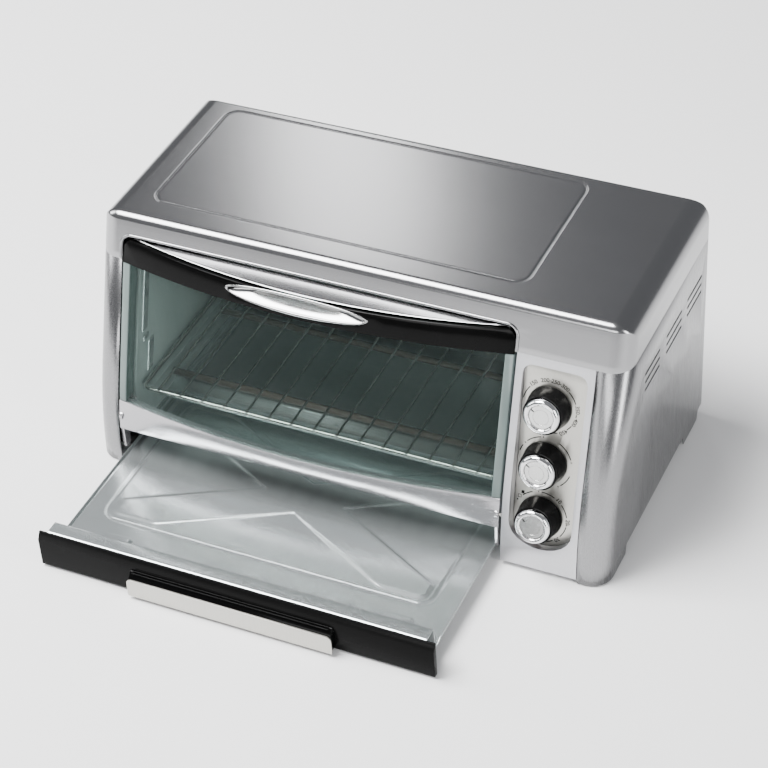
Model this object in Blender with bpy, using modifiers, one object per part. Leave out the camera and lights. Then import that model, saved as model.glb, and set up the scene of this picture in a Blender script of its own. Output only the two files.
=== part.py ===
"""Countertop toaster oven with a drop-down door, a wire rack and a crumb tray drawn out at the front.

Metres, +Z up, the front faces -Y, the table is z = 0. "Forward" distances below run from the
casing's rear edge towards the front.
"""

import math

import bmesh
import bpy
from mathutils import Matrix, Vector

# Overall sizes
WIDTH = 0.470
HEIGHT = 0.226
CASING_DEPTH = 0.241
REAR_BUMP = 0.036
FOOT_HEIGHT = 0.010
SHEET = 0.0009
GAP = 0.0003

# Front face in side view: an arc at the bottom that runs into a straight, leaning face
FRONT_LEAN = math.radians(17.2)
FRONT_RADIUS = 0.335
FRONT_CENTRE_Z = -0.010
CORNER_RADIUS = 0.018
TOP_FOLD = 0.008
REAR_FOLD = 0.005
SEAM_Z = HEIGHT - 0.0377

# Door opening and the two sides of it
OPENING_LEFT = -WIDTH / 2 + 0.0234
OPENING_RIGHT = WIDTH / 2 - 0.0938
OPENING_TOP = HEIGHT - 0.0183
OPENING_CORNER = 0.008
PANEL_LEFT = OPENING_RIGHT + 0.0021
PANEL_RIGHT = WIDTH / 2 - 0.0258
PANEL_BOTTOM = 0.0045
WRAP_GAP = 0.0006
WRAP_EDGE = PANEL_RIGHT + WRAP_GAP

# Door
DOOR_GAP = 0.0013
DOOR_BOW = 0.020
GLASS_BOW = 0.018
RAIL_BOW = 0.017
TOP_RAIL_Z = OPENING_TOP - 0.0222
BOTTOM_RAIL_TOP = 0.0640
BOTTOM_RAIL_Z = 0.0362
GLASS_THICK = 0.0035
DOOR_THICK = 0.013
TRIM_WIDTH = 0.0070
PIVOT_SETBACK = 0.0064
PIVOT_FORWARD = CASING_DEPTH - PIVOT_SETBACK
PIVOT_Z = 0.0490
PIVOT_RADIUS = 0.0013
KNUCKLE_RADIUS = 0.0034
PIN_DEPTH = 0.0022
LEG_DROP = 0.022
LEG_WIDTH = 0.0028
LEG_INSET = 0.0004
SCOOP_LENGTH = 0.127
SCOOP_HEIGHT = 0.0155
SCOOP_DEPTH = 0.013
SCOOP_Z = OPENING_TOP - 0.0115
SCOOP_OFFSET = -0.0078
SCOOP_WALL = 0.0011

# Cavity
CAVITY_LEFT = OPENING_LEFT + 0.0086
CAVITY_RIGHT = OPENING_RIGHT - 0.0052
CAVITY_TOP = OPENING_TOP - 0.0090
CAVITY_BACK = 0.0210
CAVITY_BOTTOM = 0.0225
FRAME_SETBACK = 0.0165
HEATER_RADIUS = 0.0032
HEATER_FORWARD = (CASING_DEPTH - 0.181, CASING_DEPTH - 0.088)
LOWER_HEATER_Z = 0.0375
UPPER_HEATER_Z = CAVITY_TOP - 0.0157

# Wire rack
RACK_Z = 0.0660
RACK_FRONT = CASING_DEPTH - 0.0290
RACK_REAR = CAVITY_BACK + 0.0090
RACK_WIRE = 0.0014
RACK_CLEAR = 0.0050
RACK_PITCH = 0.0211
RACK_WIRES = int((CAVITY_RIGHT - CAVITY_LEFT - 2 * RACK_CLEAR) / RACK_PITCH)

# Crumb tray, drawn out by TRAY_OUT
TRAY_OUT = 0.1335
TRAY_SHEET = 0.0007
TRAY_CLEAR = 0.0010
TRAY_LEFT = CAVITY_LEFT - TRAY_CLEAR
TRAY_RIGHT = CAVITY_RIGHT + TRAY_CLEAR
TRAY_Z = 0.0140
TRAY_REAR = 0.0160
TRAY_WALL = 0.0150
TRAY_LIP = 0.0026
SHELF_Z = BOTTOM_RAIL_Z - 0.0016
FASCIA_THICK = 0.005
FASCIA_SETBACK = 0.0005
FASCIA_LEFT = OPENING_LEFT + 0.0016
FASCIA_RIGHT = OPENING_RIGHT + 0.0038
FASCIA_LOW = 0.0015
FASCIA_HIGH = BOTTOM_RAIL_Z - 0.0004
FASCIA_CREASE = FASCIA_HIGH - 0.0061
GRIP_WIDTH = 0.184
GRIP_LOW = 0.003
GRIP_HIGH = 0.021
GRIP_STAND = 0.0062
GRIP_PLATE = 0.0015

# Dial plate and knobs
PLATE_TILT = math.radians(13.0)
PLATE_LEFT = PANEL_LEFT + 0.0064
PLATE_RIGHT = PANEL_RIGHT - 0.0058
PLATE_UP = 0.0846
PLATE_DOWN = 0.0755
PLATE_SETBACK = 0.0269
PLATE_FORWARD = CASING_DEPTH - PLATE_SETBACK
PLATE_CENTRE_Z = 0.0976
PLATE_THICK = 0.0012
PLATE_CORNER = 0.008
PLATE_BOTTOM_CURVE = 0.021
POCKET_WALL = 0.0020
POCKET_DEPTH = 0.0165
PANEL_SHEET = 0.0025
KNOB_X = PLATE_LEFT + 0.0233
KNOB_PITCH = 0.0500
KNOB_BASE = 0.0188
KNOB_TIP = 0.0167
KNOB_HEIGHT = 0.0172
KNOB_STAND = 0.0008
RING_RADIUS = 0.0152
RING_HEIGHT = 0.0042
SHAFT_RADIUS = 0.0030
BRACKET_DEPTH = 0.0195

# Rear: the dome that a round pan reaches into, and the cord's way out
BUMP_LEFT = CAVITY_LEFT + 0.008
BUMP_RIGHT = CAVITY_RIGHT - 0.011
BUMP_LOW = 0.045
BUMP_HIGH = CAVITY_TOP - 0.0207
BUMP_FLARE = 0.012
GLAND_X = WIDTH / 2 - 0.055
GLAND_Z = 0.045
GLAND_HOLE = 0.0064
REAR_PLANE = 0.0006
PANEL_CLEAR = 0.0005
SCREW_HEAD = 0.0034

FASCIA_BACK = CASING_DEPTH + FASCIA_SETBACK + TRAY_OUT
FRONTMOST = FASCIA_BACK + FASCIA_THICK + GRIP_STAND + GAP + GRIP_PLATE
REAR_Y = (FRONTMOST - REAR_BUMP) / 2
FRONT_CENTRE = CASING_DEPTH - FRONT_RADIUS
DOOR_LEFT = OPENING_LEFT + DOOR_GAP
DOOR_RIGHT = OPENING_RIGHT - GAP
DOOR_CENTRE = (DOOR_LEFT + DOOR_RIGHT) / 2
DOOR_HALF = (DOOR_RIGHT - DOOR_LEFT) / 2
SCOOP_X = DOOR_CENTRE + SCOOP_OFFSET
GRIP_CENTRE = (FASCIA_LEFT + FASCIA_RIGHT) / 2 + 0.0005

for old in list(bpy.data.objects):
    bpy.data.objects.remove(old, do_unlink=True)

parts = bpy.data.collections.new("toaster_oven")
cutters = bpy.data.collections.new("cutters")
cutters.hide_render = True
for group in (parts, cutters):
    bpy.context.scene.collection.children.link(group)


def material(name, colour, roughness, metallic=0.0, alpha=1.0):
    made = bpy.data.materials.new(name)
    made.use_nodes = True
    shader = made.node_tree.nodes["Principled BSDF"]
    shader.inputs["Base Color"].default_value = (*colour, 1.0)
    shader.inputs["Roughness"].default_value = roughness
    shader.inputs["Metallic"].default_value = metallic
    shader.inputs["Alpha"].default_value = alpha
    made.diffuse_color = (*colour, alpha)
    return made


brushed_steel = material("brushed_steel", (0.42, 0.42, 0.42), 0.32, 1.0)
satin_silver = material("satin_silver", (0.62, 0.62, 0.64), 0.36, 0.9)
nickel = material("nickel", (0.66, 0.63, 0.57), 0.30, 1.0)
chrome = material("chrome", (0.85, 0.85, 0.86), 0.06, 1.0)
black_gloss = material("black_gloss", (0.012, 0.012, 0.013), 0.12)
black_plastic = material("black_plastic", (0.020, 0.020, 0.021), 0.40)
tinted_glass = material("tinted_glass", (0.50, 0.58, 0.56), 0.04, 0.0, 0.35)
tray_steel = material("tray_steel", (0.50, 0.55, 0.57), 0.35, 0.9)
cavity_steel = material("cavity_steel", (0.40, 0.44, 0.45), 0.38, 0.9)
heater_steel = material("heater_steel", (0.10, 0.08, 0.07), 0.55, 0.6)
rack_chrome = material("rack_chrome", (0.70, 0.70, 0.69), 0.18, 1.0)
rubber = material("rubber", (0.03, 0.03, 0.03), 0.75)
lens_red = material("lens_red", (0.16, 0.03, 0.02), 0.15)
phenolic = material("phenolic", (0.24, 0.20, 0.15), 0.6)


def at(x, forward, z):
    return Vector((x, REAR_Y - forward, z))


def put(name, mesh, finish, collection=parts):
    made = bpy.data.objects.new(name, mesh)
    collection.objects.link(made)
    mesh.materials.clear()
    if finish:
        mesh.materials.append(finish)
    if collection is cutters:
        made.hide_render = True
        made.display_type = "WIRE"
    return made


def mesh_of(name, shape, smooth=False):
    mesh = bpy.data.meshes.new(name)
    shape.to_mesh(mesh)
    shape.free()
    if smooth:
        mesh.shade_smooth()
        mesh.set_sharp_from_angle(angle=math.radians(35))
    return mesh


def arc(centre, radius, start, end, steps):
    """Points on an arc, in degrees, both ends included."""
    points = []
    for i in range(steps + 1):
        angle = math.radians(start + (end - start) * i / steps)
        points.append((centre[0] + radius * math.cos(angle), centre[1] + radius * math.sin(angle)))
    return points


def rounded_box(left, right, low, high, radii, steps=4):
    """Outline with round corners; radii run from bottom left round to top left."""
    bl, br, tr, tl = radii
    return (
        arc((left + bl, low + bl), bl, 180, 270, steps)
        + arc((right - br, low + br), br, 270, 360, steps)
        + arc((right - tr, high - tr), tr, 0, 90, steps)
        + arc((left + tl, high - tl), tl, 90, 180, steps)
    )


def skin(rings, closed=True, first_cap=False, last_cap=False):
    """A surface through rings of equal length."""
    shape = bmesh.new()
    rows = [[shape.verts.new(point) for point in ring] for ring in rings]
    for low, high in zip(rows, rows[1:]):
        count = len(low)
        for i in range(count if closed else count - 1):
            shape.faces.new((low[i], low[(i + 1) % count], high[(i + 1) % count], high[i]))
    if first_cap:
        shape.faces.new(rows[0])
    if last_cap:
        shape.faces.new(rows[-1])
    bmesh.ops.recalc_face_normals(shape, faces=shape.faces)
    return shape, rows


def face_towards(shape, direction):
    """Turns an open surface so that its faces look along a direction."""
    shape.normal_update()
    side = sum(face.normal.dot(direction) * face.calc_area() for face in shape.faces)
    if side < 0:
        bmesh.ops.reverse_faces(shape, faces=shape.faces)


def thicken(made, thickness, offset=-1):
    solid = made.modifiers.new("sheet", "SOLIDIFY")
    solid.thickness = thickness
    solid.offset = offset
    solid.use_even_offset = True


def combine(made, other, operation="DIFFERENCE"):
    step = made.modifiers.new(other.name, "BOOLEAN")
    step.operation = operation
    step.solver = "EXACT"
    step.object = other


def bevel(made, width, segments=2):
    step = made.modifiers.new("edges", "BEVEL")
    step.width = width
    step.segments = segments


def box(name, low, high, finish, collection=parts, edge=0.0):
    """A block between two corners, given as x, forward, z."""
    shape = bmesh.new()
    bmesh.ops.create_cube(shape, size=1.0)
    first = at(*low)
    second = at(*high)
    size = [abs(b - a) for a, b in zip(first, second)]
    bmesh.ops.scale(shape, vec=size, verts=shape.verts)
    made = put(name, mesh_of(name, shape), finish, collection)
    made.location = (first + second) / 2
    if edge:
        bevel(made, edge)
    return made


def solid_curve(name, curve, place, finish, collection, smooth):
    """Turns a curve object into a mesh object with its caps welded."""
    curve_object = bpy.data.objects.new(name, curve)
    parts.objects.link(curve_object)
    curve_object.matrix_world = place
    bpy.context.view_layer.update()
    mesh = bpy.data.meshes.new_from_object(
        curve_object.evaluated_get(bpy.context.evaluated_depsgraph_get())
    )
    bpy.data.objects.remove(curve_object)
    bpy.data.curves.remove(curve)
    shape = bmesh.new()
    shape.from_mesh(mesh)
    bpy.data.meshes.remove(mesh)
    bmesh.ops.remove_doubles(shape, verts=shape.verts, dist=1e-6)
    bmesh.ops.recalc_face_normals(shape, faces=shape.faces)
    made = put(name, mesh_of(name, shape, smooth), finish, collection)
    made.matrix_world = place
    return made


def axes_matrix(across, up, origin):
    through = across.cross(up)
    matrix = Matrix((across, up, through)).transposed().to_4x4()
    matrix.translation = origin
    return matrix


def slab_place(axis, middle):
    """Where an outline lies: axis X takes (forward, z), Y takes (x, z) and Z takes (x, forward)."""
    if axis == "X":
        return axes_matrix(Vector((0, -1, 0)), Vector((0, 0, 1)), at(middle, 0, 0))
    if axis == "Y":
        return axes_matrix(Vector((1, 0, 0)), Vector((0, 0, 1)), at(0, middle, 0))
    return axes_matrix(Vector((1, 0, 0)), Vector((0, -1, 0)), at(0, 0, middle))


def flat(name, outline, place, thickness, finish, collection=parts):
    """A flat outline given its thickness, half to each side of its plane."""
    curve = bpy.data.curves.new(name, "CURVE")
    curve.dimensions = "2D"
    curve.fill_mode = "BOTH"
    curve.extrude = thickness / 2
    spline = curve.splines.new("POLY")
    spline.points.add(len(outline) - 1)
    for point, (u, v) in zip(spline.points, outline):
        point.co = (u, v, 0, 1)
    spline.use_cyclic_u = True
    return solid_curve(name, curve, place, finish, collection, False)


def slab(name, outline, axis, low, high, finish, collection=parts):
    place = slab_place(axis, (low + high) / 2)
    return flat(name, outline, place, high - low, finish, collection)


def rod(name, points, radius, finish, collection=parts, sides=2):
    """A round bar through points."""
    curve = bpy.data.curves.new(name, "CURVE")
    curve.dimensions = "3D"
    curve.bevel_depth = radius
    curve.bevel_resolution = sides
    curve.use_fill_caps = True
    spline = curve.splines.new("POLY")
    spline.points.add(len(points) - 1)
    for point, place in zip(spline.points, points):
        point.co = (*place, 1)
    return solid_curve(name, curve, Matrix.Identity(4), finish, collection, True)


def turned(name, profile, place, finish, collection=parts, steps=32, loop=False):
    """A profile of (radius, height) points turned round local Z; it runs down its outer side."""
    shape = bmesh.new()
    points = [shape.verts.new((radius, 0, height)) for radius, height in profile]
    for start, end in zip(points, points[1:]):
        shape.edges.new((start, end))
    if loop:
        shape.edges.new((points[-1], points[0]))
    made = put(name, mesh_of(name, shape), finish, collection)
    turn = made.modifiers.new("turn", "SCREW")
    turn.steps = steps
    turn.render_steps = steps
    turn.use_merge_vertices = True
    turn.merge_threshold = 1e-6
    made.matrix_world = place
    return made


def front_at(z, inset=0.0):
    """How far forward the casing's front is at a height, moved inwards by inset."""
    radius = FRONT_RADIUS - inset
    straight_z = FRONT_CENTRE_Z + radius * math.sin(FRONT_LEAN)
    if z <= straight_z:
        return FRONT_CENTRE + math.sqrt(radius**2 - (z - FRONT_CENTRE_Z) ** 2)
    return FRONT_CENTRE + radius * math.cos(FRONT_LEAN) - (z - straight_z) * math.tan(FRONT_LEAN)


def front_heights(low, high, steps=6):
    """Heights that follow the arc at the bottom, then one straight step to the top."""
    straight_z = FRONT_CENTRE_Z + FRONT_RADIUS * math.sin(FRONT_LEAN)
    if low >= straight_z:
        return [low, high]
    return [low + (straight_z - low) * i / steps for i in range(steps + 1)] + [high]


def corner_steps(steps=6):
    """(x inset, face inset) round the casing's side corners, from the front face to the side."""
    turns = [math.radians(90 * i / steps) for i in range(steps + 1)]
    return [(CORNER_RADIUS * (1 - math.sin(a)), CORNER_RADIUS * (1 - math.cos(a))) for a in turns]


def cover_section(inset):
    """The cover in side view, from its rear edge over the top to the seam."""
    top = HEIGHT - inset
    rear = max(REAR_FOLD - inset, 0.0005)
    fold = max(TOP_FOLD - inset, 0.0005)
    lean = math.degrees(FRONT_LEAN)
    tangent = fold * math.tan(math.radians(90 - lean) / 2)
    points = arc((rear, top - rear), rear, 180, 90, 3)
    points += arc((front_at(top, inset) - tangent, top - fold), fold, 90, lean, 5)
    points.append((front_at(SEAM_Z, inset), SEAM_Z))
    return points


def make_top_cover():
    corners = corner_steps()
    stations = [(-WIDTH / 2 + dx, inset) for dx, inset in reversed(corners)]
    stations += [(WIDTH / 2 - dx, inset) for dx, inset in corners]
    rings = [[at(x, forward, z) for forward, z in cover_section(inset)] for x, inset in stations]
    shape, rows = skin(rings, closed=False)
    for row, side in ((rows[0], -1), (rows[-1], 1)):
        foot = shape.verts.new(at(side * WIDTH / 2, 0, SEAM_Z))
        shape.faces.new([foot, *row])
    bmesh.ops.recalc_face_normals(shape, faces=shape.faces)
    face_towards(shape, Vector((0, 0, 1)))
    cover = put("top_cover", mesh_of("top_cover", shape, True), brushed_steel)
    thicken(cover, SHEET)
    radii = (0.001, 0.001, OPENING_CORNER, OPENING_CORNER)
    outline = rounded_box(OPENING_LEFT, OPENING_RIGHT, SEAM_Z - 0.01, OPENING_TOP, radii)
    reach = (front_at(HEIGHT) - 0.03, CASING_DEPTH)
    opening = slab("cover_opening", outline, "Y", *reach, None, cutters)
    combine(cover, opening)


def louvre_cutter(side):
    """Nine slots in three groups, high on a side panel."""
    shape = bmesh.new()
    for start, end in ((0.014, 0.051), (0.065, 0.103), (0.119, 0.154)):
        for drop in (0.0448, 0.0368, 0.0288):
            made = bmesh.ops.create_cube(shape, size=1.0)
            size = (0.010, end - start, 0.0026)
            bmesh.ops.scale(shape, vec=size, verts=made["verts"])
            middle = at(side * WIDTH / 2, (start + end) / 2, SEAM_Z - drop)
            bmesh.ops.translate(shape, vec=middle, verts=made["verts"])
    name = f"louvres_{side}"
    return put(name, mesh_of(name, shape), None, cutters)


def make_side_panel(name, side, edge):
    """A side with its front corner wrapped round to edge, standing on two lobes."""
    top = SEAM_Z - GAP
    rings = []
    for z in front_heights(0.001, top):
        ring = [at(side * WIDTH / 2, 0, z)]
        for dx, inset in reversed(corner_steps()):
            ring.append(at(side * (WIDTH / 2 - dx), front_at(z, inset), z))
        ring.append(at(side * edge, front_at(z), z))
        rings.append(ring)
    shape, _ = skin(rings, closed=False)
    face_towards(shape, Vector((side, 0, 0)))
    panel = put(name, mesh_of(name, shape, True), satin_silver)
    thicken(panel, SHEET)
    front = CASING_DEPTH - 0.045
    notch = [(0.050, FOOT_HEIGHT), (0.044, -0.01), (front, -0.01), (front - 0.004, FOOT_HEIGHT)]
    heel = [(-0.01, FOOT_HEIGHT), (-0.01, -0.01), (0.014, -0.01), (0.010, FOOT_HEIGHT)]
    reach = sorted((side * (WIDTH / 2 - 0.005), side * (WIDTH / 2 + 0.005)))
    for label, outline in (("notch", notch), ("heel", heel)):
        combine(panel, slab(f"{name}_{label}", outline, "X", *reach, None, cutters))
    combine(panel, louvre_cutter(side))


def pressed_rings(rings):
    """Rounded rectangles at forward distances, as rings in space."""
    made = []
    for forward, left, right, low, high, radii in rings:
        outline = rounded_box(left, right, low, high, radii)
        made.append([at(x, forward, z) for x, z in outline])
    return made


def pressed_plate(name, rings, thickness, finish):
    shape, _ = skin(pressed_rings(rings), last_cap=True)
    face_towards(shape, Vector((0, 1, 0)))
    made = put(name, mesh_of(name, shape, True), finish)
    thicken(made, thickness)
    return made


def bump_rings(plane, deepest, shrink):
    """A shallow dome that lets a round pan reach past the wall: foot, shoulder and crown."""
    left = BUMP_LEFT + shrink
    right = BUMP_RIGHT - shrink
    low = BUMP_LOW + shrink
    high = BUMP_HIGH - shrink
    steps = (
        (0.0, 0.0, 0.034),
        (0.25, 0.25, 0.032),
        (0.75, 0.6, 0.030),
        (0.95, 0.8, 0.028),
        (1.0, 1.0, 0.024),
    )
    rings = []
    for depth, flare, radius in steps:
        inward = flare * BUMP_FLARE
        forward = plane + (deepest - plane) * depth
        radii = (radius,) * 4
        rings.append((forward, left + inward, right - inward, low + inward, high - inward, radii))
    return rings


def make_rear_panel():
    side = WIDTH / 2 - SHEET - PANEL_CLEAR
    top = HEIGHT - REAR_FOLD - 0.0008
    radii = (0.003, 0.003, CORNER_RADIUS - SHEET, CORNER_RADIUS - SHEET)
    rings = [(REAR_PLANE, -side, side, FOOT_HEIGHT + 0.002, top, radii)]
    rings += bump_rings(REAR_PLANE, -REAR_BUMP, 0.0)
    panel = pressed_plate("rear_panel", rings, SHEET, satin_silver)
    shape = bmesh.new()
    for x in (GLAND_X - 0.015, GLAND_X + 0.016):
        for row in range(7):
            made = bmesh.ops.create_cube(shape, size=1.0)
            bmesh.ops.scale(shape, vec=(0.022, 0.010, 0.003), verts=made["verts"])
            middle = at(x, REAR_PLANE, 0.090 + 0.011 * row)
            bmesh.ops.translate(shape, vec=middle, verts=made["verts"])
    combine(panel, put("rear_vents", mesh_of("rear_vents", shape), None, cutters))
    circle = arc((GLAND_X, GLAND_Z), GLAND_HOLE, 0, 345, 23)
    combine(panel, slab("gland_hole", circle, "Y", -0.01, 0.01, None, cutters))
    return panel


def facing_rear(x, forward, z):
    """A place whose local Z points out of the rear."""
    return Matrix.Translation(at(x, forward, z)) @ Matrix.Rotation(math.radians(-90), 4, "X")


def make_gland():
    """Moulded bush with a groove that the rear panel's hole sits in."""
    collar = GLAND_HOLE + 0.0022
    neck = GLAND_HOLE - GAP
    bore = 0.0036
    outside = 0.0045
    inside = -SHEET - GAP
    profile = [
        (bore, outside),
        (collar - 0.002, outside),
        (collar, outside - 0.002),
        (collar, GAP),
        (neck, GAP),
        (neck, inside),
        (collar, inside),
        (collar, inside - 0.002),
        (bore, inside - 0.002),
    ]
    place = facing_rear(GLAND_X, REAR_PLANE, GLAND_Z)
    turned("cord_gland", profile, place, black_plastic, steps=24, loop=True)


def make_rear_screws():
    head = SCREW_HEAD
    low = WIDTH / 2 - 0.011
    high = WIDTH / 2 - 0.019
    places = [(-low, 0.030), (low, 0.030), (-high, HEIGHT - 0.026), (high, HEIGHT - 0.026)]
    for number, (x, z) in enumerate(places, 1):
        profile = [(0, 0.0022), (head * 0.6, 0.0020), (head, 0.0010), (head, GAP), (0, GAP)]
        turned(f"rear_screw_{number}", profile, facing_rear(x, REAR_PLANE, z), satin_silver, steps=16)


def make_bottom_plate():
    side = WIDTH / 2 - SHEET - PANEL_CLEAR
    low = FOOT_HEIGHT + PANEL_CLEAR
    front = CASING_DEPTH - 0.027
    outline = rounded_box(-side, side, 0.004, front, (0.002, 0.002, 0.012, 0.012), 3)
    slab("bottom_plate", outline, "Z", low, low + SHEET, satin_silver)


def make_foot_pads():
    outer = WIDTH / 2 - SHEET - 0.004
    places = {
        "front_left": (-1, CASING_DEPTH - 0.048, CASING_DEPTH - 0.0225),
        "front_right": (1, CASING_DEPTH - 0.048, CASING_DEPTH - 0.0225),
        "rear_left": (-1, 0.015, 0.042),
        "rear_right": (1, 0.015, 0.042),
    }
    for label, (side, back, front) in places.items():
        ends = sorted((side * (outer - 0.026), side * outer))
        low = (ends[0], back, 0)
        high = (ends[1], front, FOOT_HEIGHT + PANEL_CLEAR - GAP)
        box(f"foot_pad_{label}", low, high, rubber, edge=0.0018)


def front_sheet(name, left, right, low, high, inset, thickness, finish, collection=parts):
    """A sheet that follows the front face, set back from it by inset."""
    rings = []
    for z in front_heights(low, high):
        rings.append([at(left, front_at(z, inset), z), at(right, front_at(z, inset), z)])
    shape, _ = skin(rings, closed=False)
    face_towards(shape, Vector((0, -1, 0)))
    made = put(name, mesh_of(name, shape, True), finish, collection)
    thicken(made, thickness)
    return made


def make_front_frame():
    """Inverted U that closes the space between the cavity and the door opening."""
    low = 0.058
    top = OPENING_TOP + 0.004
    span = (OPENING_LEFT, OPENING_RIGHT, low, top)
    frame = front_sheet("front_frame", *span, FRAME_SETBACK, SHEET, cavity_steel)
    opening = box(
        "frame_opening",
        (CAVITY_LEFT, CASING_DEPTH - 0.14, low - 0.02),
        (CAVITY_RIGHT, CASING_DEPTH + 0.02, CAVITY_TOP - 0.0005),
        None,
        cutters,
    )
    combine(frame, opening)


def plate_place(along=0.0, x=0.0, out=0.0):
    """A frame on the dial plate's front: local X across, Y up the slope, Z out of the plate."""
    up = Vector((0, math.sin(PLATE_TILT), math.cos(PLATE_TILT)))
    out_way = Vector((0, -math.cos(PLATE_TILT), math.sin(PLATE_TILT)))
    origin = at(x, PLATE_FORWARD, PLATE_CENTRE_Z) + up * along + out_way * out
    return axes_matrix(Vector((1, 0, 0)), up, origin)


def plate_outline(grow):
    """Round upper corners and a half-oval bottom, grown outwards by grow."""
    left = PLATE_LEFT - grow
    right = PLATE_RIGHT + grow
    corner = PLATE_CORNER + grow
    top = PLATE_UP + grow
    middle = (left + right) / 2
    half = (right - left) / 2
    curve = PLATE_BOTTOM_CURVE + grow
    start = -PLATE_DOWN - grow + curve
    points = arc((right - corner, top - corner), corner, 0, 90, 4)
    points += arc((left + corner, top - corner), corner, 90, 180, 4)
    for i in range(13):
        angle = math.pi * (1 + i / 12)
        points.append((middle + half * math.cos(angle), start + curve * math.sin(angle)))
    return points


def make_control_panel():
    """Moulded panel with a pocket for the dial plate, hollow behind its face."""
    rings = []
    for z in front_heights(PANEL_BOTTOM, SEAM_Z - GAP):
        face = front_at(z)
        back = face - POCKET_DEPTH - 0.004
        corners = ((PANEL_LEFT, face), (PANEL_RIGHT, face), (PANEL_RIGHT, back), (PANEL_LEFT, back))
        rings.append([at(x, forward, z) for x, forward in corners])
    shape, _ = skin(rings, first_cap=True, last_cap=True)
    panel = put("control_panel", mesh_of("control_panel", shape), satin_silver)
    rings = []
    for z in front_heights(PANEL_BOTTOM + PANEL_SHEET, SEAM_Z - GAP - PANEL_SHEET):
        face = front_at(z, PANEL_SHEET)
        back = face - POCKET_DEPTH - 0.010
        left = PANEL_LEFT + PANEL_SHEET / 2
        right = PANEL_RIGHT - PANEL_SHEET / 2
        rings.append([at(left, face, z), at(right, face, z), at(right, back, z), at(left, back, z)])
    shape, _ = skin(rings, first_cap=True, last_cap=True)
    hollow = put("panel_hollow", mesh_of("panel_hollow", shape), None, cutters)
    depth = 2 * (POCKET_DEPTH + 0.020)
    post = flat("pocket_wall", plate_outline(POCKET_WALL + GAP), plate_place(), depth, None, cutters)
    combine(hollow, post)
    combine(panel, hollow)
    pocket = flat("pocket", plate_outline(GAP), plate_place(), depth, None, cutters)
    combine(panel, pocket)


def knob_names():
    return (("temperature", 1), ("function", 0), ("timer", -1))


def make_dial_plate():
    plate = flat("dial_plate", plate_outline(0.0), plate_place(out=-PLATE_THICK / 2), PLATE_THICK, nickel)
    for name, row in knob_names():
        hole = flat(
            f"{name}_hole",
            arc((KNOB_X, row * KNOB_PITCH), SHAFT_RADIUS + GAP, 0, 340, 17),
            plate_place(),
            0.010,
            None,
            cutters,
        )
        combine(plate, hole)


def make_indicator():
    """A dark red crescent between the lowest knob and the plate's edge, with its lamp behind."""
    middle = (PLATE_LEFT + PLATE_RIGHT) / 2
    half = (PLATE_RIGHT - PLATE_LEFT) / 2 - 0.0012
    curve = PLATE_BOTTOM_CURVE - 0.0012
    start = -PLATE_DOWN + PLATE_BOTTOM_CURVE
    lower = []
    for i in range(9):
        angle = math.radians(205 + 62 * i / 8)
        lower.append((middle + half * math.cos(angle), start + curve * math.sin(angle)))
    upper = arc((KNOB_X, -KNOB_PITCH), KNOB_BASE + 0.0016, 283, 222, 6)
    thickness = 0.0010
    flat("indicator_lens", lower + upper, plate_place(out=GAP + thickness / 2), thickness, lens_red)
    turned(
        "indicator_lamp",
        [(0, -0.0030), (0.0020, -0.0036), (0.0030, -0.0055), (0.0030, -0.0160), (0, -0.0160)],
        plate_place(-KNOB_PITCH - KNOB_BASE + 0.002, KNOB_X - 0.013),
        lens_red,
        steps=16,
    )


def make_controls():
    """What the knobs turn: a thermostat, a rotary switch and a wind-up timer on one bracket."""
    behind = -BRACKET_DEPTH
    outline = rounded_box(PLATE_LEFT - 0.002, PLATE_RIGHT + 0.002, -0.066, 0.082, (0.004,) * 4, 2)
    bracket = flat("control_bracket", outline, plate_place(out=behind - 0.0005), 0.0010, tray_steel)
    for name, row in knob_names():
        circle = arc((KNOB_X, row * KNOB_PITCH), SHAFT_RADIUS + 0.0010, 0, 330, 11)
        hole = flat(f"{name}_bracket_hole", circle, plate_place(out=behind), 0.010, None, cutters)
        combine(bracket, hole)
    front = behind - 0.0010 - GAP
    sizes = {"thermostat": (1, 0.030, 0.034, 0.016), "timer": (-1, 0.040, 0.040, 0.026)}
    for name, (row, wide, tall, deep) in sizes.items():
        low = row * KNOB_PITCH - tall / 2
        outline = rounded_box(KNOB_X - wide / 2, KNOB_X + wide / 2, low, low + tall, (0.003,) * 4, 2)
        body = flat(name, outline, plate_place(out=front - deep / 2), deep, tray_steel)
        socket = turned(
            f"{name}_socket",
            [(0, 0.01), (SHAFT_RADIUS + GAP, 0.01), (SHAFT_RADIUS + GAP, -0.0085), (0, -0.0085)],
            plate_place(row * KNOB_PITCH, KNOB_X, front),
            None,
            cutters,
            steps=16,
        )
        combine(body, socket)
    switch = turned(
        "function_switch",
        [(0, front), (0.017, front), (0.018, front - 0.001), (0.018, front - 0.020), (0, front - 0.020)],
        plate_place(0, KNOB_X),
        phenolic,
        steps=24,
    )
    socket = turned(
        "function_switch_socket",
        [(0, 0.01), (SHAFT_RADIUS + GAP, 0.01), (SHAFT_RADIUS + GAP, -0.0085), (0, -0.0085)],
        plate_place(0, KNOB_X, front),
        None,
        cutters,
        steps=16,
    )
    combine(switch, socket)
    back = front - 0.026 - GAP
    bell = [(0, back), (0.004, back), (0.004, back - 0.004), (0.017, back - 0.004)]
    bell += [(0.0185, back - 0.0065), (0.0185, back - 0.010), (0.0178, back - 0.010)]
    bell += [(0.0178, back - 0.007), (0.0162, back - 0.0048), (0, back - 0.0048)]
    turned("timer_bell", bell, plate_place(-KNOB_PITCH, KNOB_X), rack_chrome, steps=24)


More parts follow.
